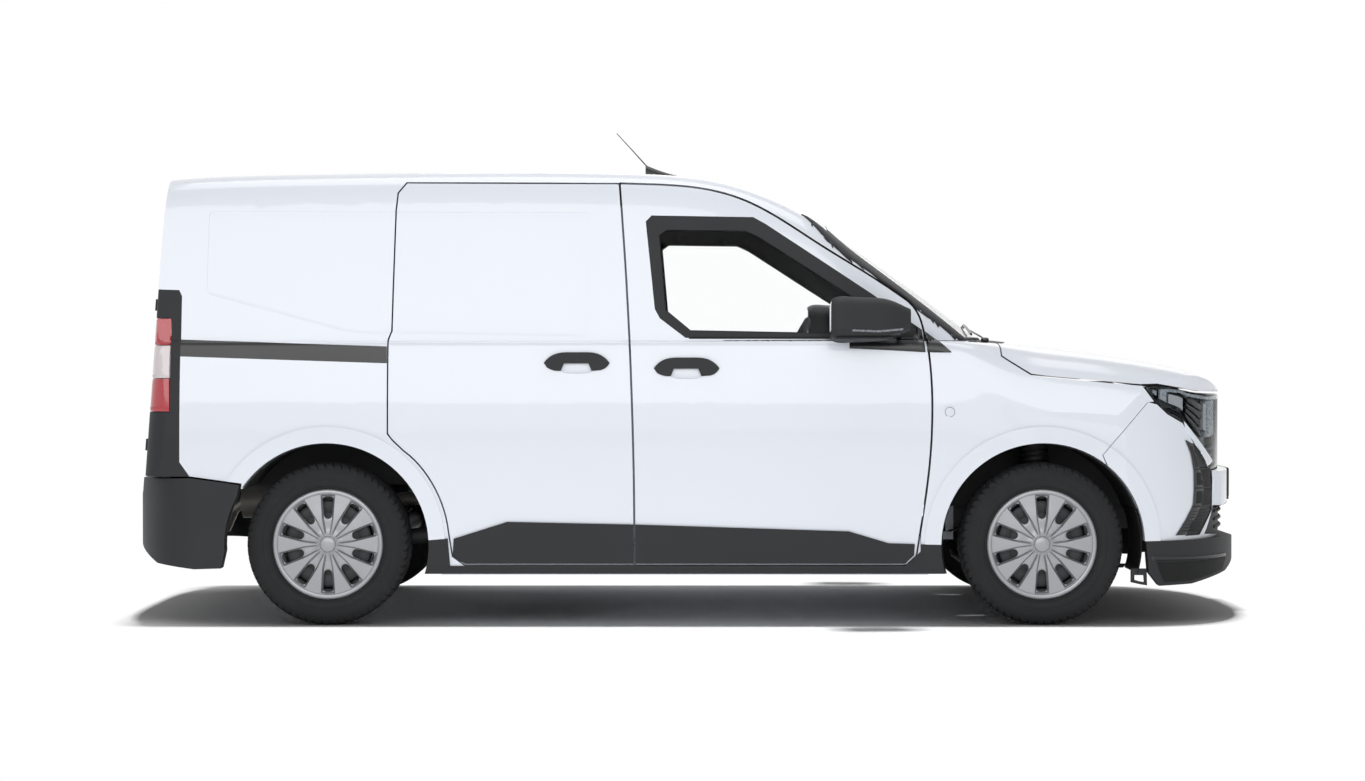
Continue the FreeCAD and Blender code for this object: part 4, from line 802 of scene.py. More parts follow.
def steel_wheel(name, centre, side, body):
    """The black pressed wheel behind the cover: rolled flanges, a drop centre and a vented disc."""
    w = 97.5  # half width of the rim
    rim = [(209, w - 18), (209, w - 16.5), (205, w - 14.5), (200, w - 17), (197.5, w - 24), (196, w - 40),
           (178, w - 50), (172, w - 78), (178, w - 108), (190, w - 120), (196, -w + 30), (198, -w + 23),
           (205, -w + 21), (207, -w + 23), (205, -w + 25), (200, -w + 27), (196, -w + 33), (187, w - 118),
           (175, w - 106), (169, w - 78), (175, w - 48), (193, w - 38), (195, w - 24), (199, w - 18)]
    parts = [lathe(rim, 120, centre, side)]
    disc = [(166, 48), (160, 52), (140, 56), (118, 50), (96, 58), (80, 62), (66, 62), (46, 60), (34, 66),
            (22, 66)]
    steps = 160
    shell = [round_axle(centre, side, r, math.tau * k / steps, y)
             for r, y in in_metres(disc) for k in range(steps)]
    faces = [f for n, f in enumerate(grid_faces(len(disc), steps, False, True))
             if not (n // steps in (1, 2) and 4 <= n % 16 <= 10)]  # ten vents across two bands
    parts.append((shell, faces))
    walled(piece(name, *joined(parts), "steel", body), 3.0 * MM)
    nuts = []
    for k in range(5):
        spot = round_axle(centre, side, 50 * MM, math.tau * k / 5, 69 * MM)
        nuts.append(pillow(spot, (10 * MM, 8 * MM, 10 * MM), 0.6, 6, 6))
    piece(name + "_nuts", *joined(nuts), "disc", body)


def brake(name, centre, side, body, front):
    """Vented disc in front, ribbed drum behind, both on the wheel."""
    if front:
        ring = [(70, 8), (128, 8), (130, 9), (130, 14), (128, 15), (112, 15), (112, 19), (128, 19), (130, 20),
                (130, 25), (128, 27), (76, 27), (74, 46), (24, 46), (24, 38), (66, 38)]
    else:
        ring = [(30, 44), (88, 44), (96, 40), (101, 34), (101, 30), (104, 30), (104, 26), (101, 26),
                (101, 20), (104, 20), (104, 16), (101, 16), (101, 8), (95, 8), (95, 34), (84, 38), (30, 38)]
    piece(name, *lathe(ring, 72, centre, side), "disc", body)


def caliper(name, centre, side, body):
    """Floating caliper over the rear edge of the disc: bridge, piston housing and two pins."""
    parts = []
    for y0, y1, thick in ((-16, 6, 24), (30, 40, 17), (-2, 36, 11)):
        rings = []
        for k in range(15):
            a = math.radians(-128 + 76 * k / 14)
            swell = 1.0 - 0.25 * abs(k - 7) / 7
            low = 96 if thick > 11 else 133
            high = low + (thick + 22) * swell if thick > 11 else low + 12 * swell
            ring = [(low, y0), (high - 4, y0), (high, y0 + 4), (high, y1 - 4), (high - 4, y1), (low, y1)]
            rings.append([round_axle(centre, side, r, a, y) for r, y in in_metres(ring)])
        parts.append(loft(rings))
    piece(name, *joined(parts), "cast", body, bevel=1.5 * MM)


class VAN_OT_wheels(bpy.types.Operator):
    """Tyres with tread, steel wheels, silver covers and brakes"""
    bl_idname = "van.wheels"
    bl_label = "Wheels"

    def execute(self, context):
        sizes = context.scene.van_sizes
        for end, x in (("front", sizes.front_axle), ("rear", sizes.rear_axle)):
            for hand, side in SIDES.items():
                at = (x, side * sizes.half_track, sizes.tyre_radius)
                tag = "_%s_%s" % (end, hand)
                body = "wheel" + tag
                rubber = tyre("road_tyre" + tag, at, side, body)
                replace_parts(rubber, "tyre" + tag)
                cover = wheel_cover("wheel_cover" + tag, at, side, body)
                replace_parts(cover, "wheel" + tag)
                steel_wheel("steel_wheel" + tag, at, side, body)
                brake("brake" + tag, at, side, body, end == "front")
                if end == "front":
                    caliper("caliper_" + hand, at, side, "knuckle_" + hand)
        return {"FINISHED"}


# Outside

def track(line, z):
    """The x of a line of (x, z) points at a height."""
    line = sorted(line, key=lambda p: p[1])
    for (x0, z0), (x1, z1) in zip(line, line[1:]):
        if z <= z1:
            return x0 + (x1 - x0) * max(0.0, (z - z0) / (z1 - z0))
    return line[-1][0]


def wing_details(hand, side, belt):
    """The black corner piece ahead of each door window, and the round cap on the wing."""
    cast = side_cast(surface("front_wings", "body_sides", "windscreen"), side)
    piece("corner_piece_" + hand, *moulding(
        cast, [(0.8865, belt + 0.036), (0.935, belt), (0.982, belt - 0.043)],
        [(0.8935, belt - 0.046), (0.945, belt - 0.047), (0.984, belt - 0.047)],
        -0.004, 0.005, 24, 10), "satin")
    spot = cast(0.977, 0.807)[0]
    ring = [(0, 1.0), (9, 1.0), (17, 1.0), (17.6, 0.2), (18.6, 0.2), (19.2, 1.6), (21.5, 1.6), (22.4, 0.6),
            (22.4, -4), (0, -4)]
    piece("wing_cap_" + hand, *lathe(ring, 40, spot, side), "paint")
    groove = [(17.4, 0.5), (18.9, 0.5), (18.9, -1), (17.4, -1)]
    piece("wing_cap_groove_" + hand, *lathe(groove, 40, spot, side), "seal")


# Lines of the air slot in the side view, as (x, z): rear edge of the well, of its dark rim, and front edge.
SLOT_REAR = [(1.882, 0.337), (1.950, 0.444), (1.962, 0.508), (1.946, 0.578), (1.927, 0.640), (1.914, 0.680)]
SLOT_RIM = [(1.838, 0.337), (1.893, 0.410), (1.916, 0.450), (1.920, 0.508), (1.919, 0.578), (1.906, 0.640),
            (1.884, 0.690)]
SLOT_FRONT = [(1.945, 0.337), (2.016, 0.424), (2.017, 0.518), (2.008, 0.598), (1.970, 0.658), (1.924, 0.680)]


def slot_details(hand, side):
    """The air slot's dark rim, grey upper panel, dividers and slats, and the body-coloured strip above it."""
    cast = side_cast(surface("front_valance", "front_bumper", "headlamps"), side)
    def band(z0, z1, margin):
        """The rear and front edges of a part of the slot between two heights, inset by a margin."""
        zs = (z0, (z0 + z1) / 2, z1)
        return ([(track(SLOT_RIM, z) + margin, z) for z in zs],
                [(track(SLOT_FRONT, z) - margin, z) for z in zs])
    rims = (0.338, 0.395, 0.450, 0.508, 0.578, 0.640, 0.680)
    piece("slot_rim_" + hand, *moulding(
        cast, [(track(SLOT_RIM, z), z) for z in rims] + [(1.880, 0.697)],
        [(track(SLOT_REAR, z) + 0.004, z) for z in rims] + [(1.884, 0.698)],
        -0.002, 0.0022, 40, 6, 0.001), "satin")
    piece("slot_panel_" + hand, *moulding(cast, *band(0.592, 0.676, 0.005), -0.002, 0.0034, 16, 8), "skin")
    bars = [moulding(cast, *band(z, z + 0.007, 0.005), -0.001, 0.0045, 4, 12) for z in (0.582, 0.510, 0.440)]
    bars += [moulding(cast, *band(z, z + 0.004, 0.008), -0.001, 0.0038, 4, 12)
             for z in (0.352, 0.364, 0.376, 0.388, 0.400, 0.412, 0.424)]
    piece("slot_bars_" + hand, *joined(bars), "skin")
    # painted shade: near-black sheets on the floor of the slot's well stand in for the shade inside the
    # opening
    piece("slot_well_painted_shade_" + hand, *joined([
        moulding(cast, *band(0.448, 0.508, 0.006), -0.001, 0.0026, 8, 12),
        moulding(cast, *band(0.518, 0.580, 0.006), -0.001, 0.0026, 8, 12)]), "seal")
    piece("slot_strip_" + hand, *moulding(
        cast, [(1.872, 0.772), (1.930, 0.709), (2.000, 0.632), (2.019, 0.612)],
        [(1.880, 0.737), (1.930, 0.674), (1.966, 0.626), (1.988, 0.594)], -0.003, 0.0042, 40, 8), "paint")


def lamp_edges(tree, centre, side, low, high, span, count=44):
    """Scans a lamp around an upright line: for each turn, the lowest and highest point that it covers."""
    columns = []
    for k in range(count + 1):
        turn = side * math.radians(span[0] + (span[1] - span[0]) * k / count)
        out = Vector((math.cos(turn), math.sin(turn), 0))
        found = []
        z = low
        while z <= high:
            start = Vector((centre[0], centre[1], z)) + out * 1.2
            if tree.ray_cast(start, -out, 1.05)[0]:
                found.append(z)
            z += 0.0025
        if found:
            columns.append((turn, found[0] + 0.002, found[-1] - 0.002))
    return columns


def headlamp(hand, side):
    """A deep black lamp: clear cover, dark housing, a frosted guide at the top and stepped optics below."""
    tree = surface("headlamps")
    centre = (1.50, side * 0.36)  # of the nose's rounded corner, which the lamp is scanned around
    edge = lamp_edges(tree, centre, side, 0.56, 0.93, (5, 70))
    cast = round_cast(tree, centre)
    top = [(t, z) for t, _, z in edge]
    foot = [(t, z) for t, z, _ in edge]
    last = len(edge) - 1
    def at(share):
        """The column of the scan at a share of the lamp's turn."""
        return int(last * share)
    def strip(i, j, down0, down1):
        """The edges of a strip that follows the lamp's top, between two distances below it."""
        run = top[i:j + 1]
        return [(t, z - down0) for t, z in run], [(t, z - down1) for t, z in run]
    def block(i, j, share0, share1):
        """The edges of a block between two columns and two shares of the lamp's height."""
        def row(share):
            return [(top[k][0], top[k][1] + (foot[k][1] - top[k][1]) * share) for k in range(i, j + 1)]
        return row(share0), row(share1)
    cover = piece("lamp_cover_" + hand, *moulding(cast, top, foot, -0.0035, 0.0, 56, 20, 0.0012), "lamp")
    shell = [moulding(cast, top, foot, -0.047, -0.042, 56, 12),
             moulding(cast, *strip(0, last, 0.0, 0.005), -0.046, -0.0045, 56, 2),
             moulding(cast, [(t, z + 0.005) for t, z in foot], foot, -0.046, -0.0045, 56, 2),
             moulding(cast, *block(0, 1, 0.0, 1.0), -0.046, -0.0045, 4, 16),
             moulding(cast, *block(last - 1, last, 0.0, 1.0), -0.046, -0.0045, 4, 6)]
    piece("lamp_housing_" + hand, *joined(shell), "satin")
    guide = [moulding(cast, *strip(at(0.12), at(0.90), 0.010, 0.022), -0.020, -0.008, 40, 3),
             moulding(cast, *block(at(0.86), at(0.90), 0.18, 0.62), -0.020, -0.008, 4, 8),
             moulding(cast, *block(at(0.93), at(0.97), 0.25, 0.55), -0.018, -0.008, 4, 6)]
    piece("light_guide_" + hand, *joined(guide), "guide")
    piece("lamp_module_" + hand, *joined([
        moulding(cast, *block(at(0.70), at(0.83), 0.28, 0.60), -0.036, -0.014, 10, 8),
        moulding(cast, *block(at(0.42), at(0.45), 0.14, 0.50), -0.036, -0.010, 4, 12)]), "silver")
    optics = [moulding(cast, *block(at(0.44), at(0.66), 0.17 + 0.11 * k, 0.25 + 0.11 * k),
                       -0.036, -0.016 - 0.003 * k, 12, 4) for k in range(4)]
    piece("lamp_optics_" + hand, *joined(optics), "satin")
    piece("lamp_face_" + hand, *moulding(cast, *block(at(0.10), at(0.39), 0.08, 0.58), -0.040, -0.012,
                                         16, 14, 0.008), "guide", bevel=2 * MM)
    piece("lamp_lower_" + hand, *joined([
        moulding(cast, *block(at(0.03), at(0.80), 0.72 + 0.09 * k, 0.76 + 0.09 * k), -0.040, -0.018, 40, 2)
        for k in range(3)]), "grained")
    return cover


def tail_lamp(hand, side):
    """The upright tail lamp in three lenses over a dark back, wrapped round the corner."""
    tree = surface("tail_lamps")
    centre = (-1.75, side * 0.60)  # well inside the rear corner, which the lamp is scanned around
    def span(z):
        """The first and last turn that the lamp covers at a height, a little inside its edge."""
        turns = []
        for k in range(181):
            turn = side * math.radians(100 + 0.5 * k)
            out = Vector((math.cos(turn), math.sin(turn), 0))
            if tree.ray_cast(Vector((centre[0], centre[1], z)) + out, -out, 0.9)[0]:
                turns.append(turn)
        return min(turns, key=abs) + side * 0.008, max(turns, key=abs) - side * 0.008
    cast = round_cast(tree, centre)
    made = []
    for name, look, z0, z1 in (("low", "tail_red", 0.809, 0.932), ("clear", "tail_clear", 0.935, 1.057),
                               ("high", "tail_red", 1.060, 1.159)):
        a, b = span(z1), span(z0)
        lens = moulding(cast, [(turn, z1) for turn in a], [(turn, z0) for turn in b],
                        -0.012, 0.0, 16, 12, 0.002)
        made.append(piece("tail_lens_%s_%s" % (name, hand), *lens, look))
    a, b = span(1.158), span(0.811)
    back = moulding(cast, [(turn, 1.160) for turn in a], [(turn, 0.808) for turn in b],
                    -0.047, -0.013, 16, 20)
    piece("tail_lamp_back_" + hand, *back, "satin")
    return made[0]


def mirror_details(hand, side, body):
    """Mirror glass behind, and the thin turn lamp along the foot of the housing."""
    tree = surface("door_trim_" + hand)
    near, far = side * 0.936, side * 1.038
    piece("mirror_glass_" + hand, *moulding(
        end_cast(tree, -1), [(near, 1.214), (far, 1.222)], [(near, 1.088), (far, 1.100)],
        0.0, 0.002, 12, 10), "chrome", body)
    piece("turn_lamp_" + hand, *moulding(
        side_cast(tree, side), [(0.600, 1.117), (0.700, 1.114), (0.790, 1.122)],
        [(0.600, 1.110), (0.700, 1.106), (0.790, 1.114)], -0.002, 0.0012, 16, 3), "guide", body)


def window_details(hand, side, axle, belt, roof):
    """Seal round the glass, the black mirror foot on the door, and the wiper seal along the belt."""
    body = "front_door_" + hand
    outline = [(axle - 1.424, belt + 0.112), (axle - 1.449, roof - 0.270), (axle - 1.420, roof - 0.248),
               (axle - 1.120, roof - 0.252), (axle - 1.070, roof - 0.275), (axle - 0.700, roof - 0.512),
               (axle - 0.690, belt + 0.022), (axle - 1.330, belt + 0.034)]
    cast = side_cast(surface("door_glass_" + hand), side)
    path = []
    for (x0, z0), (x1, z1) in zip(outline, outline[1:] + outline[:1]):
        for k in range(8):
            path.append(cast(x0 + (x1 - x0) * k / 8, z0 + (z1 - z0) * k / 8)[0])
    section = [(-0.0035, -0.001), (0.0035, -0.001), (0.0030, 0.0015), (0, 0.0035), (-0.0030, 0.0015)]
    piece("glass_seal_" + hand, *sweep(path, section, True, (0, side, 0)), "seal", body)
    door = side_cast(surface("front_door_" + hand), side)
    piece("mirror_foot_" + hand, *moulding(
        door, [(0.600, belt + 0.012), (0.820, belt + 0.078), (0.8775, belt + 0.040)],
        [(0.600, belt - 0.032), (0.740, belt - 0.038), (0.8865, belt - 0.046)], -0.003, 0.0055, 30, 10),
        "satin", body)
    skin = side_cast(surface("front_door_" + hand, "door_trim_" + hand), side)
    piece("belt_seal_" + hand, *moulding(
        skin, *level_band(-0.005, 0.845, belt + 0.0125, belt + 0.0045), -0.003, 0.0025, 40, 3), "seal", body)


def antenna():
    """A sloping whip on a low fin."""
    rings = []
    for k in range(13):
        t = k / 12
        x = -0.180 + 0.178 * t
        high = 0.046 * (1 - t) ** 1.6 + 0.006
        half = 0.020 * (1 - 0.65 * t)
        base = 1.7415 - 0.004 * t
        rings.append([(x, half * math.cos(a), base + high * max(0.0, math.sin(a)) ** 0.8)
                      for a in (math.tau * j / 16 for j in range(16))])
    foot = piece("antenna_foot", *loft(rings), "satin")
    whip = curve_through(
        [(-0.166, 0, 1.778), (-0.200, 0, 1.816), (-0.250, 0, 1.871), (-0.2975, 0, 1.9225)], 5)
    piece("antenna_whip", *sweep(whip, ring_section(0.0030, 10), up=(0, 1, 0), scale=eased([1.0, 0.5])),
          "satin")
    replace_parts(foot, "antenna")


def wipers():
    """Two arms with pivots and blades at the foot of the windscreen."""
    cast = screen_cast(surface("windscreen", "scuttle"))
    lift = Vector((0.006, 0, 0.010))
    blade = [(-0.006, -0.003), (0.006, -0.003), (0.004, 0.004), (0, 0.006), (-0.004, 0.004)]
    arms = []
    for y0, y1 in ((0.10, 0.62), (-0.52, 0.00)):
        lifted = [cast(y0 + (y1 - y0) * k / 14, 0.735 - 0.020 * math.sin(math.pi * k / 14))[0] + lift
                  for k in range(15)]
        arms.append(sweep(lifted, blade, up=(0.5, 0, 0.8)))
        pivot = Vector((1.142, y0 - 0.06, 1.079))
        arms.append(sweep([pivot, pivot + Vector((-0.010, 0.05, 0.012)), lifted[3], lifted[7]],
                          [(-0.007, -0.002), (0.007, -0.002), (0.005, 0.004), (-0.005, 0.004)],
                          up=(0.5, 0, 0.8), scale=lambda t: 1.2 - 0.5 * t))
        arms.append(pillow(pivot, (0.016, 0.016, 0.010), 0.7, 8, 16))
    made = piece("wiper_arms", *joined(arms), "satin")
    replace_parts(made, "wipers")


def plates():
    """Blank number plates: one on a black carrier in front, one on the left rear door."""
    front = end_cast(surface("front_bumper"), 1)
    piece("front_plate_carrier", *moulding(
        front, *level_band(-0.270, 0.270, 0.571, 0.446), -0.001, 0.0190, 30, 4), "satin")
    piece("front_plate", *moulding(
        front, *level_band(-0.259, 0.259, 0.565, 0.457), 0.0192, 0.0204, 30, 4, 0.0006), "plate")
    rear = end_cast(surface("rear_trim_left"), -1)
    piece("rear_plate", *moulding(
        rear, *level_band(0.142, 0.658, 0.7535, 0.6465), 0.0003, 0.0018, 30, 4, 0.0006),
        "plate", "rear_door_left")


def nose_plan(y):
    """The foremost x of the body at a place across it: the plan curve that the CAD nose is drawn on."""
    front, depth, half, power = 2.099, 0.60, 0.904, 2.8
    return front - depth * (1 - (1 - (abs(y) / half) ** power) ** (1 / power))


def nose_details(belt):
    """Slats of the grille, the dark lower intake with its bars, and on each side the valance lip with a
    near-black sheet below it that is painted shade.
    """
    nose = end_cast(surface("front_bumper"), 1)
    intake = [moulding(nose, [(-0.60, 0.440), (-0.45, 0.446), (0.45, 0.446), (0.60, 0.440)],
                       [(-0.70, 0.335), (-0.55, 0.326), (0.55, 0.326), (0.70, 0.335)], -0.002, 0.003, 60, 8)]
    intake += [moulding(nose, [(-0.60, z + 0.010), (0.60, z + 0.010)], [(-0.61, z), (0.61, z)],
                        0.001, 0.014, 60, 3, 0.004) for z in (0.352, 0.382, 0.412)]
    piece("lower_intake", *joined(intake), "grained")
    for hand, side in SIDES.items():
        skirt = side_cast(surface("front_valance"), side)
        piece("valance_lip_" + hand, *moulding(
            skirt, [(1.74, 0.262), (1.90, 0.256), (2.07, 0.257)],
            [(1.74, 0.246), (1.90, 0.244), (2.07, 0.246)], -0.002, 0.004, 40, 4, 0.004), "satin")
        # painted shade: a near-black sheet below the lip, darker than the valance itself, for the shade under
        # it
        piece("valance_under_painted_shade_" + hand, *moulding(
            skirt, [(1.76, 0.240), (1.90, 0.238), (2.07, 0.240)],
            [(1.79, 0.164), (1.90, 0.166), (2.05, 0.196)], -0.002, 0.0015, 40, 8, 0.001), "seal")
    bars = []
    slats, opening = 7, 0.296
    slat = [(-0.010, 0.0), (-0.004, -0.0035), (0.008, -0.0025), (0.010, 0.0), (0.008, 0.0025),
            (-0.004, 0.0035)]
    for k in range(slats):
        z = belt - 0.510 + opening * (k + 0.5) / slats
        path = [(nose_plan(y) - 0.016, y, z) for y in (0.405 * (j / 15 - 1) for j in range(31))]
        bars.append(sweep(path, slat))
    piece("grille_slats", *joined(bars), "satin")


class VAN_OT_outside(bpy.types.Operator):
    """Lamps, mirrors, seals, grille, slots, plates, wipers and antenna"""
    bl_idname = "van.outside"
    bl_label = "Outside details"

    def execute(self, context):
        sizes = context.scene.van_sizes
        for hand, side in SIDES.items():
            wing_details(hand, side, sizes.belt)
            slot_details(hand, side)
            cover = headlamp(hand, side)
            lens = tail_lamp(hand, side)
            mirror_details(hand, side, "front_door_" + hand)
            window_details(hand, side, sizes.front_axle, sizes.belt, sizes.roof)
        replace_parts(cover, "headlamps")
        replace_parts(lens, "tail_lamps")
        antenna()
        wipers()
        plates()
        nose_details(sizes.belt)
        return {"FINISHED"}


# Cabin

def inward(side):
    """Chooses faces that look towards the middle of the van."""
    return lambda middle, normal: normal.y * side < -0.15 or (abs(middle.y) < 0.82 and abs(normal.x) > 0.5)


def cab_linings(belt, roof):
    """Dark linings over the steel of the cab: roof, pillars, posts, bulkhead, front wall and floor mat."""
    for name, node, low, high, chosen, look in (
            ("headliner", "roof_panel", (-0.30, -0.72, 1.4), (0.62, 0.72, roof),
             lambda middle, normal: normal.z < -0.2, "cloth"),
            ("bulkhead_lining", "bulkhead", (-0.6, -0.9, 0.34), (0.0, 0.9, roof),
             lambda middle, normal: normal.x > 0.5, "skin"),
            ("footwell_lining", "firewall", (0.6, -0.9, 0.33), (1.3, 0.9, 1.1),
             lambda middle, normal: normal.x < -0.3, "skin"),
            ("floor_mat", "floor_pan", (-0.28, -0.74, 0.30), (1.02, 0.74, 0.36),
             lambda middle, normal: normal.z > 0.5, "grained")):
        lining(name, node, low, high, chosen, look)
    for hand, side in SIDES.items():
        far, near = side * 0.9, side * 0.3
        low, high = (-0.30, min(far, near), 0.36), (1.16, max(far, near), roof)
        lining("pillar_lining_" + hand, "body_sides", low, high, inward(side), "skin")
        lining("post_lining_" + hand, "door_posts", low, high, inward(side), "skin", thickness=1.5 * MM)
        lining("door_frame_lining_" + hand, "front_door_" + hand,
               (-0.19, min(far, near), belt - 0.10), (0.90, max(far, near), roof - 0.10),
               lambda m, n: abs(m.y) < 0.862 and (n.y * side < -0.15 or abs(n.y) < 0.6), "skin",
               "front_door_" + hand, 1.5 * MM)


def door_card(hand, side, belt):
    """Inner door trim: a lower panel with a map pocket, an armrest with a grip, and a release lever."""
    body = "front_door_" + hand
    door = surface("front_door_" + hand)
    def cast(x, z):
        """The inner face of the door at (x, z) and the way into the cab."""
        hit = door.ray_cast(Vector((x, 0, z)), Vector((0, side, 0)))[0]
        return Vector((x, hit.y if hit else side * 0.84, z)), Vector((0, -side, 0))
    parts = [moulding(cast, [(-0.13, belt + 0.004), (0.78, belt + 0.004)], [(-0.12, 0.42), (0.74, 0.42)],
                      0.001, 0.010, 40, 24, 0.004),
             moulding(cast, [(-0.05, 0.94), (0.50, 0.98), (0.74, 0.99)],
                      [(-0.04, 0.80), (0.46, 0.83), (0.70, 0.90)], 0.009, 0.022, 30, 8, 0.008),
             moulding(cast, [(0.10, 0.62), (0.66, 0.62)], [(0.12, 0.45), (0.62, 0.45)],
                      0.009, 0.040, 24, 10, 0.012)]
    piece("door_card_" + hand, *joined(parts), "skin", body, bevel=2 * MM)
    rest, _ = cast(0.18, 0.79)
    arm = pillow((0.17, rest.y - side * 0.036, 0.79), (0.20, 0.034, 0.030), 0.42, 14, 32)
    piece("armrest_" + hand, *arm, "cloth", body)
    lever, _ = cast(0.55, 0.90)
    handle = curve_through([(0.50, lever.y - side * 0.024, 0.895), (0.52, lever.y - side * 0.040, 0.902),
                            (0.57, lever.y - side * 0.042, 0.905), (0.60, lever.y - side * 0.026, 0.905)], 5)
    piece("release_lever_" + hand, *sweep(handle, ring_section(0.006, 10, 1.6)), "satin", body)


def bake(made):
    """Replaces a piece's mesh by its evaluated one and drops the modifiers."""
    looked = made.evaluated_get(bpy.context.evaluated_depsgraph_get())
    mesh = bpy.data.meshes.new_from_object(looked)
    made.modifiers.clear()
    made.data = mesh


CUSHION_GRID = 9 * MM  # mesh size of a cushion while it is swelled
CUSHION_PRESSURE = 4.0
CUSHION_FRAMES = 12


def cushion(name, rings, limit, body="chassis"):
    """A padded form from closed rings, swelled by the cloth solver and held near its drawn shape."""
    made = piece(name, *loft(rings), "cloth", None, crease=60)
    remesh = made.modifiers.new("even", "REMESH")
    remesh.mode, remesh.voxel_size = "VOXEL", CUSHION_GRID
    bake(made)
    start = [v.co.copy() for v in made.data.vertices]
    cloth = made.modifiers.new("swell", "CLOTH")
    cloth.settings.use_pressure = True
    cloth.settings.uniform_pressure_force = CUSHION_PRESSURE
    cloth.settings.effector_weights.gravity = 0.0
    cloth.settings.quality = 4
    for step in range(CUSHION_FRAMES):
        bpy.context.scene.frame_set(step + 1)
    bake(made)
    bpy.context.scene.frame_set(1)
    for v, old in zip(made.data.vertices, start):
        move = v.co - old
        if move.length > limit:
            v.co = old + move.normalized() * limit
    made.data.shade_smooth()
    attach(made, body)
    return made


def seat_ring(half_x, half_y, z, centre_x, y, dish=0.0, corner=0.3, count=36):
    """One level ring of a cushion, squarish, with a dish along its middle."""
    ring = []
    for k in range(count):
        a = math.tau * k / count
        u, v = squared(math.cos(a), corner), squared(math.sin(a), corner)
        ring.append((centre_x + half_x * u, y + half_y * v, z - dish * (1 - v * v)))
    return ring


def leaning(points, foot, degrees=-14.0):
    """Points given upright over the foot, leaned back about it."""
    turn, foot = Matrix.Rotation(math.radians(degrees), 3, "Y"), Vector(foot)
    return [tuple(foot + turn @ (Vector(p) - foot)) for p in points]


def seat(hand, y, x):
    """One seat: base, cushion and reclined back with bolsters, headrest, piping and a recliner."""
    piece("seat_base_" + hand, *joined([
        pillow((x + 0.01, y, 0.425), (0.172, 0.165, 0.094), 0.25, 10, 24),
        pillow((x + 0.02, y + 0.205, 0.490), (0.215, 0.016, 0.046), 0.3, 8, 20),
        pillow((x + 0.02, y - 0.205, 0.490), (0.215, 0.016, 0.046), 0.3, 8, 20)]), "skin")
    # Levels of the cushion as (height, share of its full size, dish); the back and head have no dish.
    levels = [(0.522, 0.86, 0.0), (0.530, 0.95, 0.0), (0.548, 1.0, 0.0), (0.598, 1.0, 0.002),
              (0.622, 0.98, 0.012), (0.634, 0.90, 0.020), (0.637, 0.72, 0.022)]
    cushion("seat_cushion_" + hand,
            [seat_ring(0.235 * k, 0.240 * k, z, x + 0.03, y, d) for z, k, d in levels], 10 * MM)
    foot = (x - 0.22, y, 0.62)
    backs = []
    for z, k in ((0.615, 0.84), (0.628, 0.95), (0.66, 1.0), (0.82, 1.0), (1.00, 0.97), (1.12, 0.90),
                 (1.19, 0.80), (1.212, 0.66)):
        ring = []
        for px, py, pz in seat_ring(0.050 * (0.6 + 0.4 * k), 0.232 * k, z, x - 0.222, y, 0.0, 0.4):
            swell = 0.022 * ((py - y) / 0.232) ** 2 if px > x - 0.222 else 0.0
            ring.append((px + swell - 0.011, py, pz))
        backs.append(leaning(ring, foot))
    cushion("seat_back_" + hand, backs, 10 * MM)
    head = [leaning(seat_ring(0.038 * k, 0.122 * k, z, x - 0.215, y, 0.0, 0.55), foot)
            for z, k in ((1.250, 0.55), (1.258, 0.85), (1.285, 1.0), (1.375, 1.0), (1.398, 0.85),
                         (1.406, 0.55))]
    made = cushion("headrest_" + hand, head, 8 * MM)
    posts = [sweep(leaning([(x - 0.215, y + s, 1.18), (x - 0.215, y + s, 1.285)], foot),
                   ring_section(0.005, 10), up=(0, 1, 0)) for s in (-0.06, 0.06)]
    piece("headrest_posts_" + hand, *joined(posts), "chrome")
    seams = []
    for s in (-0.150, 0.150):
        back = [(x - 0.180, y + s, 0.68), (x - 0.180, y + s, 0.90), (x - 0.183, y + s, 1.12)]
        base = [(x - 0.14, y + s, 0.634), (x + 0.05, y + s, 0.633), (x + 0.22, y + s, 0.630)]
        seams.append(sweep(leaning(back, foot), ring_section(0.003, 8), up=(0, 1, 0)))
        seams.append(sweep(base, ring_section(0.003, 8)))
    piece("seat_piping_" + hand, *joined(seams), "skin")
    return made


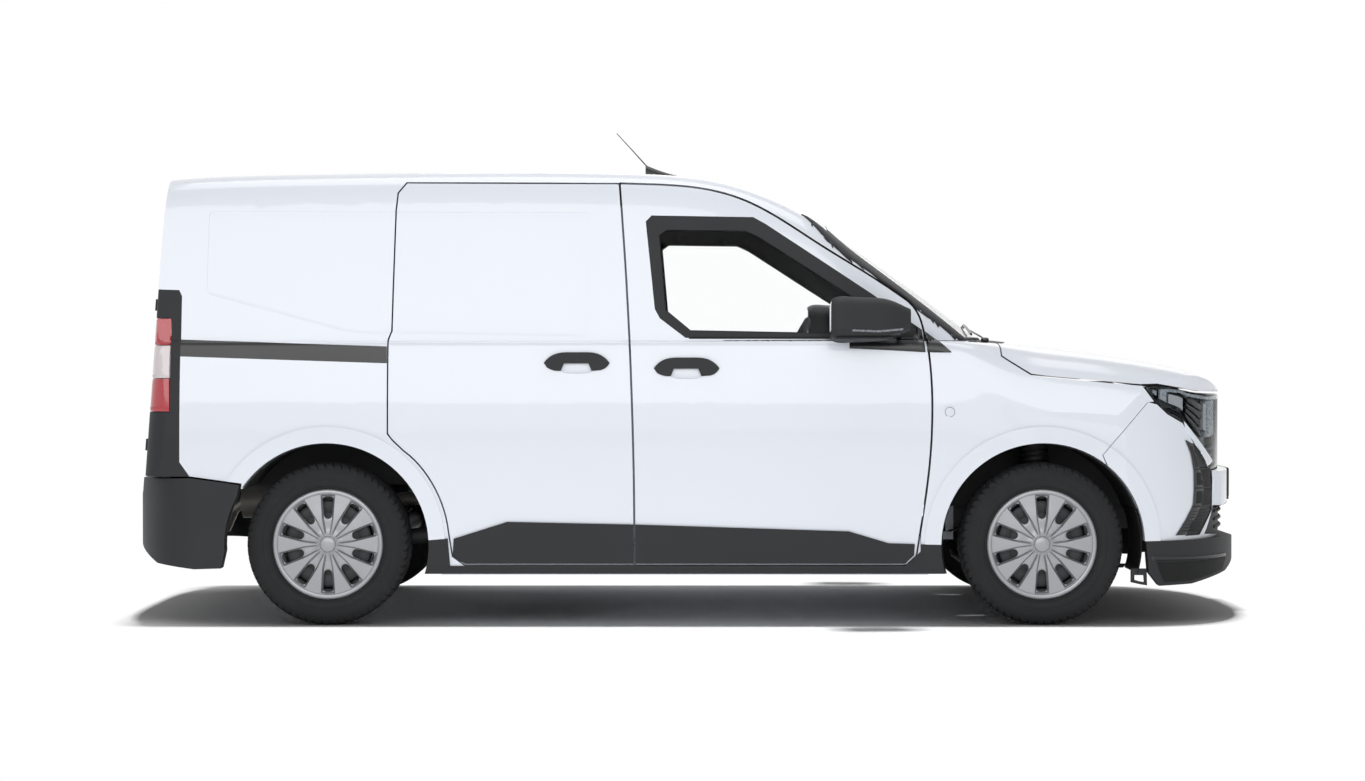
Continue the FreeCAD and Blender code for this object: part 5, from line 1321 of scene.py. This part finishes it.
def steering_wheel(seat_y):
    """Padded rim with thumb grips, three spokes, hub pad, column shroud and two stalks."""
    tilt = math.radians(25)
    middle = Vector((0.420, seat_y, 0.998))
    along, left = Vector((-math.cos(tilt), 0, math.sin(tilt))), Vector((0, 1, 0))
    up = Vector((math.sin(tilt), 0, math.cos(tilt)))
    def at(across, height, towards_driver=0.0):
        """A point of the tilted wheel, from its middle."""
        return tuple(middle + left * across + up * height + along * towards_driver)
    turns = [math.tau * k / 72 for k in range(72)]
    grip = [1.0 + 0.16 * max(0.0, math.cos(2 * (a - math.radians(52)))) ** 6
            + 0.16 * max(0.0, math.cos(2 * (a + math.radians(52)))) ** 6 for a in turns]
    rim = sweep([at(0.184 * math.sin(a), 0.184 * math.cos(a)) for a in turns], ring_section(0.0132, 14),
                closed=True, up=tuple(along), scale=eased(grip))
    made = piece("steering_rim", *rim, "skin")
    hub = []
    for d, k in ((-0.030, 0.72), (-0.020, 0.92), (0.0, 1.0), (0.012, 0.94), (0.020, 0.78), (0.023, 0.45)):
        hub.append([at(0.062 * k * squared(math.sin(a), 0.6), 0.050 * k * squared(math.cos(a), 0.6) - 0.006,
                       d) for a in turns[::2]])
    piece("steering_pad", *loft(hub), "skin")
    spokes = []
    for across, height in ((1, 0.0), (-1, 0.0), (0, -1)):
        root = Vector(at(across * 0.040, height * 0.035, -0.012))
        tip = Vector(at(across * 0.180, height * 0.178 - 0.004, -0.002))
        spokes.append(sweep([root, (root + tip) / 2, tip], ring_section(0.0085, 12, 1.9),
                            up=tuple(along), scale=eased([1.35, 1.0, 1.1])))
    piece("steering_spokes", *joined(spokes), "satin")
    shroud = [[at(0.040 * k * math.sin(a), 0.044 * k * math.cos(a) - 0.012, d) for a in turns[::2]]
              for d, k in ((-0.036, 0.7), (-0.044, 0.95), (-0.080, 1.0), (-0.180, 1.0), (-0.240, 0.9))]
    piece("column_shroud", *loft(shroud), "skin")
    stalks = []
    for s in (-1, 1):
        arm = [at(s * 0.034, 0.010, -0.070), at(s * 0.085, 0.016, -0.064), at(s * 0.142, 0.022, -0.052)]
        stalks.append(sweep(arm, ring_section(0.0048, 10, 1.5), up=tuple(along),
                            scale=eased([1.0, 1.0, 1.5])))
    piece("stalks", *joined(stalks), "satin")
    return made


PRINT_DEPTH = (-0.0068, -0.0054)  # just behind the inner face of the windscreen


def screen_border():
    """Black print round the inner edge of the windscreen, wider at its foot."""
    cast = screen_cast(surface("windscreen"))
    def across(reach, edge):
        """An edge as (y, run) points, out to the reach on both sides."""
        return [(y, edge(y)) for y in (reach * (k / 12 - 1) for k in range(25))]
    tops = across(0.595, lambda y: 0.029 + 0.05 * y * y)
    feet = across(0.655, lambda y: 0.788 - 0.18 * y * y)
    strips = [moulding(cast, tops, [(y, run + 0.040) for y, run in tops], *PRINT_DEPTH, 30, 2, 0.0002),
              moulding(cast, [(y, run - 0.070) for y, run in feet], feet, *PRINT_DEPTH, 30, 3, 0.0002)]
    runs = [0.075 + 0.600 * k / 20 for k in range(21)]
    for side in (-1, 1):
        edge = [(0.586 + 0.155 * run, run) for run in runs]
        strips.append(moulding(cast, [(side * y, run) for y, run in edge],
                               [(side * (y - 0.028), run) for y, run in edge], *PRINT_DEPTH, 24, 2, 0.0002))
    piece("windscreen_print", *joined(strips), "print")


def dash_details(seat_y):
    """Instrument hood, centre screen, vents, glove-box line, gear lever, handbrake, pedals and sun visors."""
    top = surface("dashboard")
    def on_top(x, y):
        """The dashboard's top at a place, a little proud of it."""
        hit = top.ray_cast(Vector((x, y, 1.4)), Vector((0, 0, -1)))[0]
        return x, y, (hit.z if hit else 1.03) + 0.003
    hood = [[(0.742 + d, seat_y + 0.150 * k * math.sin(a), 1.030 + 0.052 * k * abs(math.cos(a)) ** 0.7)
             for a in [math.pi * (j / 20 - 0.5) for j in range(21)]]
            for d, k in ((-0.030, 0.93), (-0.022, 1.0), (0.040, 0.98), (0.120, 0.86), (0.190, 0.60))]
    piece("instrument_hood", *loft(hood), "skin", bevel=2 * MM)
    ridge = [on_top(0.80, -0.66 + 1.32 * j / 30) for j in range(31)]
    piece("dash_seam", *sweep(ridge, ring_section(0.004, 8)), "grained")
    def face(y, z):
        """The dashboard's face towards the seats at (y, z) and the way out of it."""
        hit = top.ray_cast(Vector((0.3, y, z)), Vector((1, 0, 0)))[0]
        return Vector((hit.x if hit else 0.70, y, z)), Vector((-1, 0, 0))
    piece("centre_screen", *moulding(
        face, *level_band(-0.13, 0.11, 0.985, 0.850), 0.001, 0.012, 20, 12, 0.004), "print")
    vents = []
    for y in (-0.66, -0.24, 0.17, 0.64):
        frame_band = level_band(y - 0.055, y + 0.055, 0.965, 0.895)
        vents.append(moulding(face, *frame_band, 0.001, 0.008, 10, 8, 0.003))
        for z in (0.910, 0.925, 0.940, 0.955):
            blade = level_band(y - 0.046, y + 0.046, z + 0.002, z - 0.002)
            vents.append(moulding(face, *blade, 0.007, 0.013, 8, 2, 0.0008))
    piece("air_vents", *joined(vents), "satin")
    piece("glove_box", *moulding(face, [(-0.64, 0.86), (-0.20, 0.86)], [(-0.62, 0.70), (-0.22, 0.70)],
                                 0.001, 0.010, 20, 10, 0.004), "skin", bevel=2 * MM)
    console = [seat_ring(0.085 * k, 0.085 * k, z, 0.655, 0.0, 0.0, 0.45, 28)
               for z, k in ((0.60, 0.9), (0.64, 1.0), (0.80, 0.96), (0.83, 0.80))]
    lever = sweep([(0.640, 0.0, 0.82), (0.622, 0.0, 0.88), (0.610, 0.0, 0.925)], ring_section(0.007, 12))
    knob = pillow((0.606, 0.0, 0.945), (0.024, 0.022, 0.030), 0.8, 12, 20)
    piece("gear_console", *loft(console), "skin")
    piece("gear_lever", *joined([lever, knob]), "satin")
    brake = sweep([(0.30, 0.0, 0.36), (0.24, 0.0, 0.50), (0.12, 0.0, 0.575), (0.03, 0.0, 0.590)],
                  ring_section(0.013, 12), scale=eased([1.3, 1.1, 0.9, 1.1]))
    piece("parking_brake", *brake, "skin")
    pedals = []
    for y, wide in ((0.30, 0.030), (0.385, 0.034), (0.475, 0.030)):
        pedals.append(sweep([(0.93, y, 0.60), (0.89, y, 0.50), (0.835, y, 0.455)], ring_section(0.006, 8)))
        pedals.append(pillow((0.826, y, 0.450), (0.010, wide, 0.034), 0.35, 8, 20))
    piece("pedals", *joined(pedals), "seal")
    for hand, side in SIDES.items():
        visor = pillow((0.365, side * seat_y, 1.560), (0.075, 0.17, 0.008), 0.3, 8, 32)
        piece("sun_visor_" + hand, *visor, "cloth")


class VAN_OT_cabin(bpy.types.Operator):
    """Cab linings, door cards, seats and controls"""
    bl_idname = "van.cabin"
    bl_label = "Cabin"

    def execute(self, context):
        sizes = context.scene.van_sizes
        cab_linings(sizes.belt, sizes.roof)
        for hand, side in SIDES.items():
            door_card(hand, side, sizes.belt)
            made = seat(hand, side * sizes.seat_pitch, sizes.seat_x)
        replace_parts(made, "seats")
        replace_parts(steering_wheel(sizes.seat_pitch), "steering_wheel")
        dash_details(sizes.seat_pitch)
        screen_border()
        return {"FINISHED"}


# Below

def coil(foot, head, radius, wire, first, last, turns, per_turn=24):
    """A coil spring of a radius and wire radius round the line from foot to head, between two distances
    along it."""
    foot, line = Vector(foot), (Vector(head) - Vector(foot)).normalized()
    across = line.orthogonal().normalized()
    path = []
    for k in range(int(turns * per_turn) + 1):
        turn = Matrix.Rotation(math.tau * k / per_turn, 3, line)
        path.append(foot + line * (first + (last - first) * k / (turns * per_turn)) + turn @ across * radius)
    return sweep(path, ring_section(wire, 8), up=tuple(line))


SHEET = 3 * MM  # wall of the trays and skirts


def plenum_tray():
    """The tray below the windscreen's foot that leads rain to both sides."""
    half = 0.62
    verts = [(x, y, 0.848 - 0.010 * abs(y) / half) for x in (1.195, 1.23, 1.27, 1.31)
             for y in (half * (k / 15 - 1) for k in range(31))]
    walled(piece("plenum_tray", verts, grid_faces(4, 31), "skin"), SHEET)


def engine_undertray():
    """The ribbed splash shield below the engine."""
    rows, columns = 24, 30
    verts = []
    for r in range(rows + 1):
        for c in range(columns + 1):
            x, y = 1.10 + 0.62 * r / rows, -0.40 + 0.80 * c / columns
            rib = 0.006 if r % 6 in (2, 3) and 3 < c < columns - 3 else 0.0
            lift = 0.02 * max(0.0, abs(y) - 0.32) / 0.08
            verts.append((x, y, 0.176 + rib + lift))
    walled(piece("engine_undertray", verts, grid_faces(rows + 1, columns + 1), "grained"), SHEET, 1.0)


def deflector(hand, side):
    """The small bracket with a slotted hole that hangs ahead of the front wheel."""
    y = side * 0.862
    outer = [(1.664, 0.215), (1.724, 0.215), (1.726, 0.151), (1.700, 0.155), (1.664, 0.163)]
    inner = [(1.678, 0.190), (1.712, 0.190), (1.714, 0.164), (1.700, 0.166), (1.678, 0.172)]
    count = len(outer)
    verts, faces = [], []
    for across in (y - 0.004, y + 0.004):
        verts += [(x, across, z) for x, z in outer] + [(x, across, z) for x, z in inner]
    for k in range(count):
        n = (k + 1) % count
        faces += [(k, n, count + n, count + k), (2 * count + k, 2 * count + n, 3 * count + n, 3 * count + k),
                  (k, n, 2 * count + n, 2 * count + k), (count + k, count + n, 3 * count + n, 3 * count + k)]
    piece("deflector_" + hand, verts, faces, "grained")


def wheel_house_skirts(hand, side, axle, hub):
    """The flexible skirts that close the front wheel house below the liner, before and behind the wheel."""
    parts = []
    for first, last in ((-17.0, 20.5), (159.5, 197.0)):
        verts = []
        for across in (0.560, 0.600, 0.740, 0.830, 0.866):
            for k in range(13):
                a = math.radians(first + (last - first) * k / 12)
                verts.append((axle + 0.377 * math.cos(a), side * across, hub + 0.377 * math.sin(a)))
        parts.append((verts, grid_faces(5, 13)))
    walled(piece("wheel_house_skirts_" + hand, *joined(parts), "seal"), SHEET)


def toe_board():
    """The slanted foot of the front wall, which closes the cab floor ahead of the pedals."""
    foot = ((1.010, 0.334, 0.56), (1.050, 0.340, 0.45), (1.100, 0.362, 0.43), (1.150, 0.400, 0.43))
    verts = [(x, half * (k / 12 - 1), z) for x, z, half in foot for k in range(25)]
    walled(piece("toe_board", verts, grid_faces(4, 25), "grained"), SHEET)


class VAN_OT_under(bpy.types.Operator):
    """Trays, deflectors and springs below and behind the bodywork"""
    bl_idname = "van.under"
    bl_label = "Below"

    def execute(self, context):
        sizes = context.scene.van_sizes
        plenum_tray()
        toe_board()
        engine_undertray()
        for hand, side in SIDES.items():
            deflector(hand, side)
            wheel_house_skirts(hand, side, sizes.front_axle, sizes.tyre_radius)
            strut_foot = (sizes.front_axle, side * 0.680, 0.200)
            strut_head = (sizes.front_axle, side * 0.590, 0.690)
            front = coil(strut_foot, strut_head, 0.0535, 0.004, 0.400, 0.468, 3.5)
            piece("front_spring_" + hand, *front, "spring", "knuckle_" + hand)
            pan, cup = ((sizes.rear_axle + 0.13, side * 0.440, z) for z in (0.3, 0.6))
            rear = coil(pan, cup, 0.057, 0.006, 0.03, 0.20, 4.5)
            piece("rear_spring_" + hand, *rear, "spring")
        return {"FINISHED"}


# Stage

CAMERA_PLACE = (-0.0294, -11.5, 1.048)
CAMERA_DIP = 0.864  # degrees below level
FOCAL_PX, PHOTO_WIDTH_PX = 2818, 1365  # focal length and width of the photograph in its own pixels


def white_world(light):
    """A studio that is white to the camera, in reflections and through glass, but lights the van weakly."""
    world = bpy.data.worlds.new("studio")
    world.use_nodes = True
    links = world.node_tree.links
    rays = add_node(world, "ShaderNodeLightPath")
    bright = add_node(world, "ShaderNodeMath", {
        0: rays.outputs["Is Glossy Ray"], 1: rays.outputs["Is Transmission Ray"]}, operation="MAXIMUM")
    seen = add_node(world, "ShaderNodeMath", {
        0: rays.outputs["Is Camera Ray"], 1: bright.outputs["Value"]}, operation="MAXIMUM")
    level = add_node(world, "ShaderNodeMapRange",
                     {"Value": seen.outputs["Value"], "To Min": light, "To Max": 1.0})
    back = world.node_tree.nodes["Background"]
    back.inputs["Color"].default_value = linear("FFFFFF")
    links.new(level.outputs["Result"], back.inputs["Strength"])
    return world


def softbox(name, place, target, width, height, watts):
    """A large soft lamp that faces a point."""
    data = bpy.data.lights.new(name, "AREA")
    data.shape = "RECTANGLE"
    data.size, data.size_y, data.energy = width, height, watts
    lamp = bpy.data.objects.new(name, data)
    bpy.context.scene.collection.objects.link(lamp)
    lamp.location = place
    lamp.rotation_euler = (Vector(target) - Vector(place)).to_track_quat("-Z", "Y").to_euler()
    return lamp


def light_floor_apart(floor, van_lamps, ground_lamp):
    """Keeps the van's lamps off the floor and the floor's lamp off the van, so that only one shadow falls."""
    for lamp, state in [(lamp, "EXCLUDE") for lamp in van_lamps] + [(ground_lamp, "INCLUDE")]:
        group = bpy.data.collections.new(lamp.name + "_floor")
        group.objects.link(floor)
        group.collection_objects[0].light_linking.link_state = state
        lamp.light_linking.receiver_collection = group


def disc_floor(radius, tone):
    """A large round floor that fades into the backdrop's own white away from the van."""
    mesh = bpy.data.meshes.new("floor")
    shape = bmesh.new()
    bmesh.ops.create_circle(shape, cap_ends=True, segments=96, radius=radius)
    shape.to_mesh(mesh)
    shape.free()
    floor = bpy.data.objects.new("floor", mesh)
    bpy.context.scene.collection.objects.link(floor)
    material, shader = new_material("painted_studio_floor", {
        "Base Color": list(tone), "Roughness": 0.9, "Specular IOR Level": 0.1})
    tree = material.node_tree
    place = add_node(material, "ShaderNodeTexCoord")
    squared = add_node(material, "ShaderNodeVectorMath", {0: place.outputs["Object"], 1: (0.42, 0.85, 1.0)},
                       operation="MULTIPLY")
    away = add_node(material, "ShaderNodeVectorMath", {0: squared.outputs["Vector"]}, operation="LENGTH")
    fade = add_node(material, "ShaderNodeMapRange",
                    {"Value": away.outputs["Value"], "From Min": 0.95, "From Max": 1.5},
                    interpolation_type="SMOOTHSTEP")
    rays = add_node(material, "ShaderNodeLightPath")
    shown = add_node(material, "ShaderNodeMath",
                     {0: fade.outputs["Result"], 1: rays.outputs["Is Camera Ray"]}, operation="MULTIPLY")
    white = add_node(material, "ShaderNodeEmission", {"Color": linear("FFFFFF"), "Strength": 1.0})
    both = add_node(material, "ShaderNodeMixShader", {0: shown.outputs["Value"]})
    tree.links.new(shader.outputs["BSDF"], both.inputs[1])
    tree.links.new(white.outputs["Emission"], both.inputs[2])
    tree.links.new(both.outputs["Shader"], tree.nodes["Material Output"].inputs["Surface"])
    mesh.materials.append(material)
    return floor


class VAN_OT_stage(bpy.types.Operator):
    """Pale floor, soft lamps and the camera at the photograph's side view"""
    bl_idname = "van.stage"
    bl_label = "Stage"

    def execute(self, context):
        scene = context.scene
        floor = disc_floor(60.0, scene.van_colours.floor)
        scene.world = white_world(0.22)
        van = softbox("lamp_above", (0.0, -0.5, 6.0), (0.0, 0.0, 0.6), 6.0, 3.2, 125)
        side = softbox("lamp_side", (-1.0, -8.5, 3.4), (0.0, 0.0, 0.9), 9.0, 4.0, 225)
        far = softbox("lamp_far", (2.0, 8.0, 4.5), (0.0, 0.0, 0.9), 8.0, 4.0, 45)
        ground = softbox("lamp_ground", (0.0, 0.0, 26.0), (0.0, 0.0, 0.0), 3.0, 2.0, 6200)
        light_floor_apart(floor, [van, side, far], ground)
        scene.view_settings.view_transform = "Standard"
        camera = bpy.data.objects.new("camera", bpy.data.cameras.new("camera"))
        scene.collection.objects.link(camera)
        camera.location = CAMERA_PLACE
        camera.rotation_euler = (math.radians(90 - CAMERA_DIP), 0, 0)
        camera.data.lens = camera.data.sensor_width * FOCAL_PX / PHOTO_WIDTH_PX
        camera.data.clip_end = 300
        scene.camera = camera
        return {"FINISHED"}


# Add-on

STEPS = [VAN_OT_finishes, VAN_OT_wheels, VAN_OT_outside, VAN_OT_cabin, VAN_OT_under, VAN_OT_stage]
GROUPS = [VanColours, VanSizes]


class VAN_PT_pieces(bpy.types.Panel):
    """Shows the building steps as buttons, and the colours and sizes that a user can change"""
    bl_idname = "VAN_PT_pieces"
    bl_label = "Panel van"
    bl_space_type = "VIEW_3D"
    bl_region_type = "UI"
    bl_category = "Van"

    def draw(self, context):
        for step in STEPS:
            self.layout.operator(step.bl_idname)
        for group in (context.scene.van_colours, context.scene.van_sizes):
            for name in type(group).__annotations__:
                self.layout.prop(group, name)


def register():
    """Registers the properties, the panel and every operator"""
    for cls in GROUPS + [VAN_PT_pieces] + STEPS:
        bpy.utils.register_class(cls)
    bpy.types.Scene.van_colours = bpy.props.PointerProperty(type=VanColours)
    bpy.types.Scene.van_sizes = bpy.props.PointerProperty(type=VanSizes)


def unregister():
    """Takes them away again"""
    del bpy.types.Scene.van_colours
    del bpy.types.Scene.van_sizes
    for cls in reversed(GROUPS + [VAN_PT_pieces] + STEPS):
        bpy.utils.unregister_class(cls)


def main():
    """Builds the van step by step"""
    register()
    for step in STEPS:
        group, name = step.bl_idname.split(".")
        getattr(getattr(bpy.ops, group), name)()


if __name__ == "__main__":
    main()
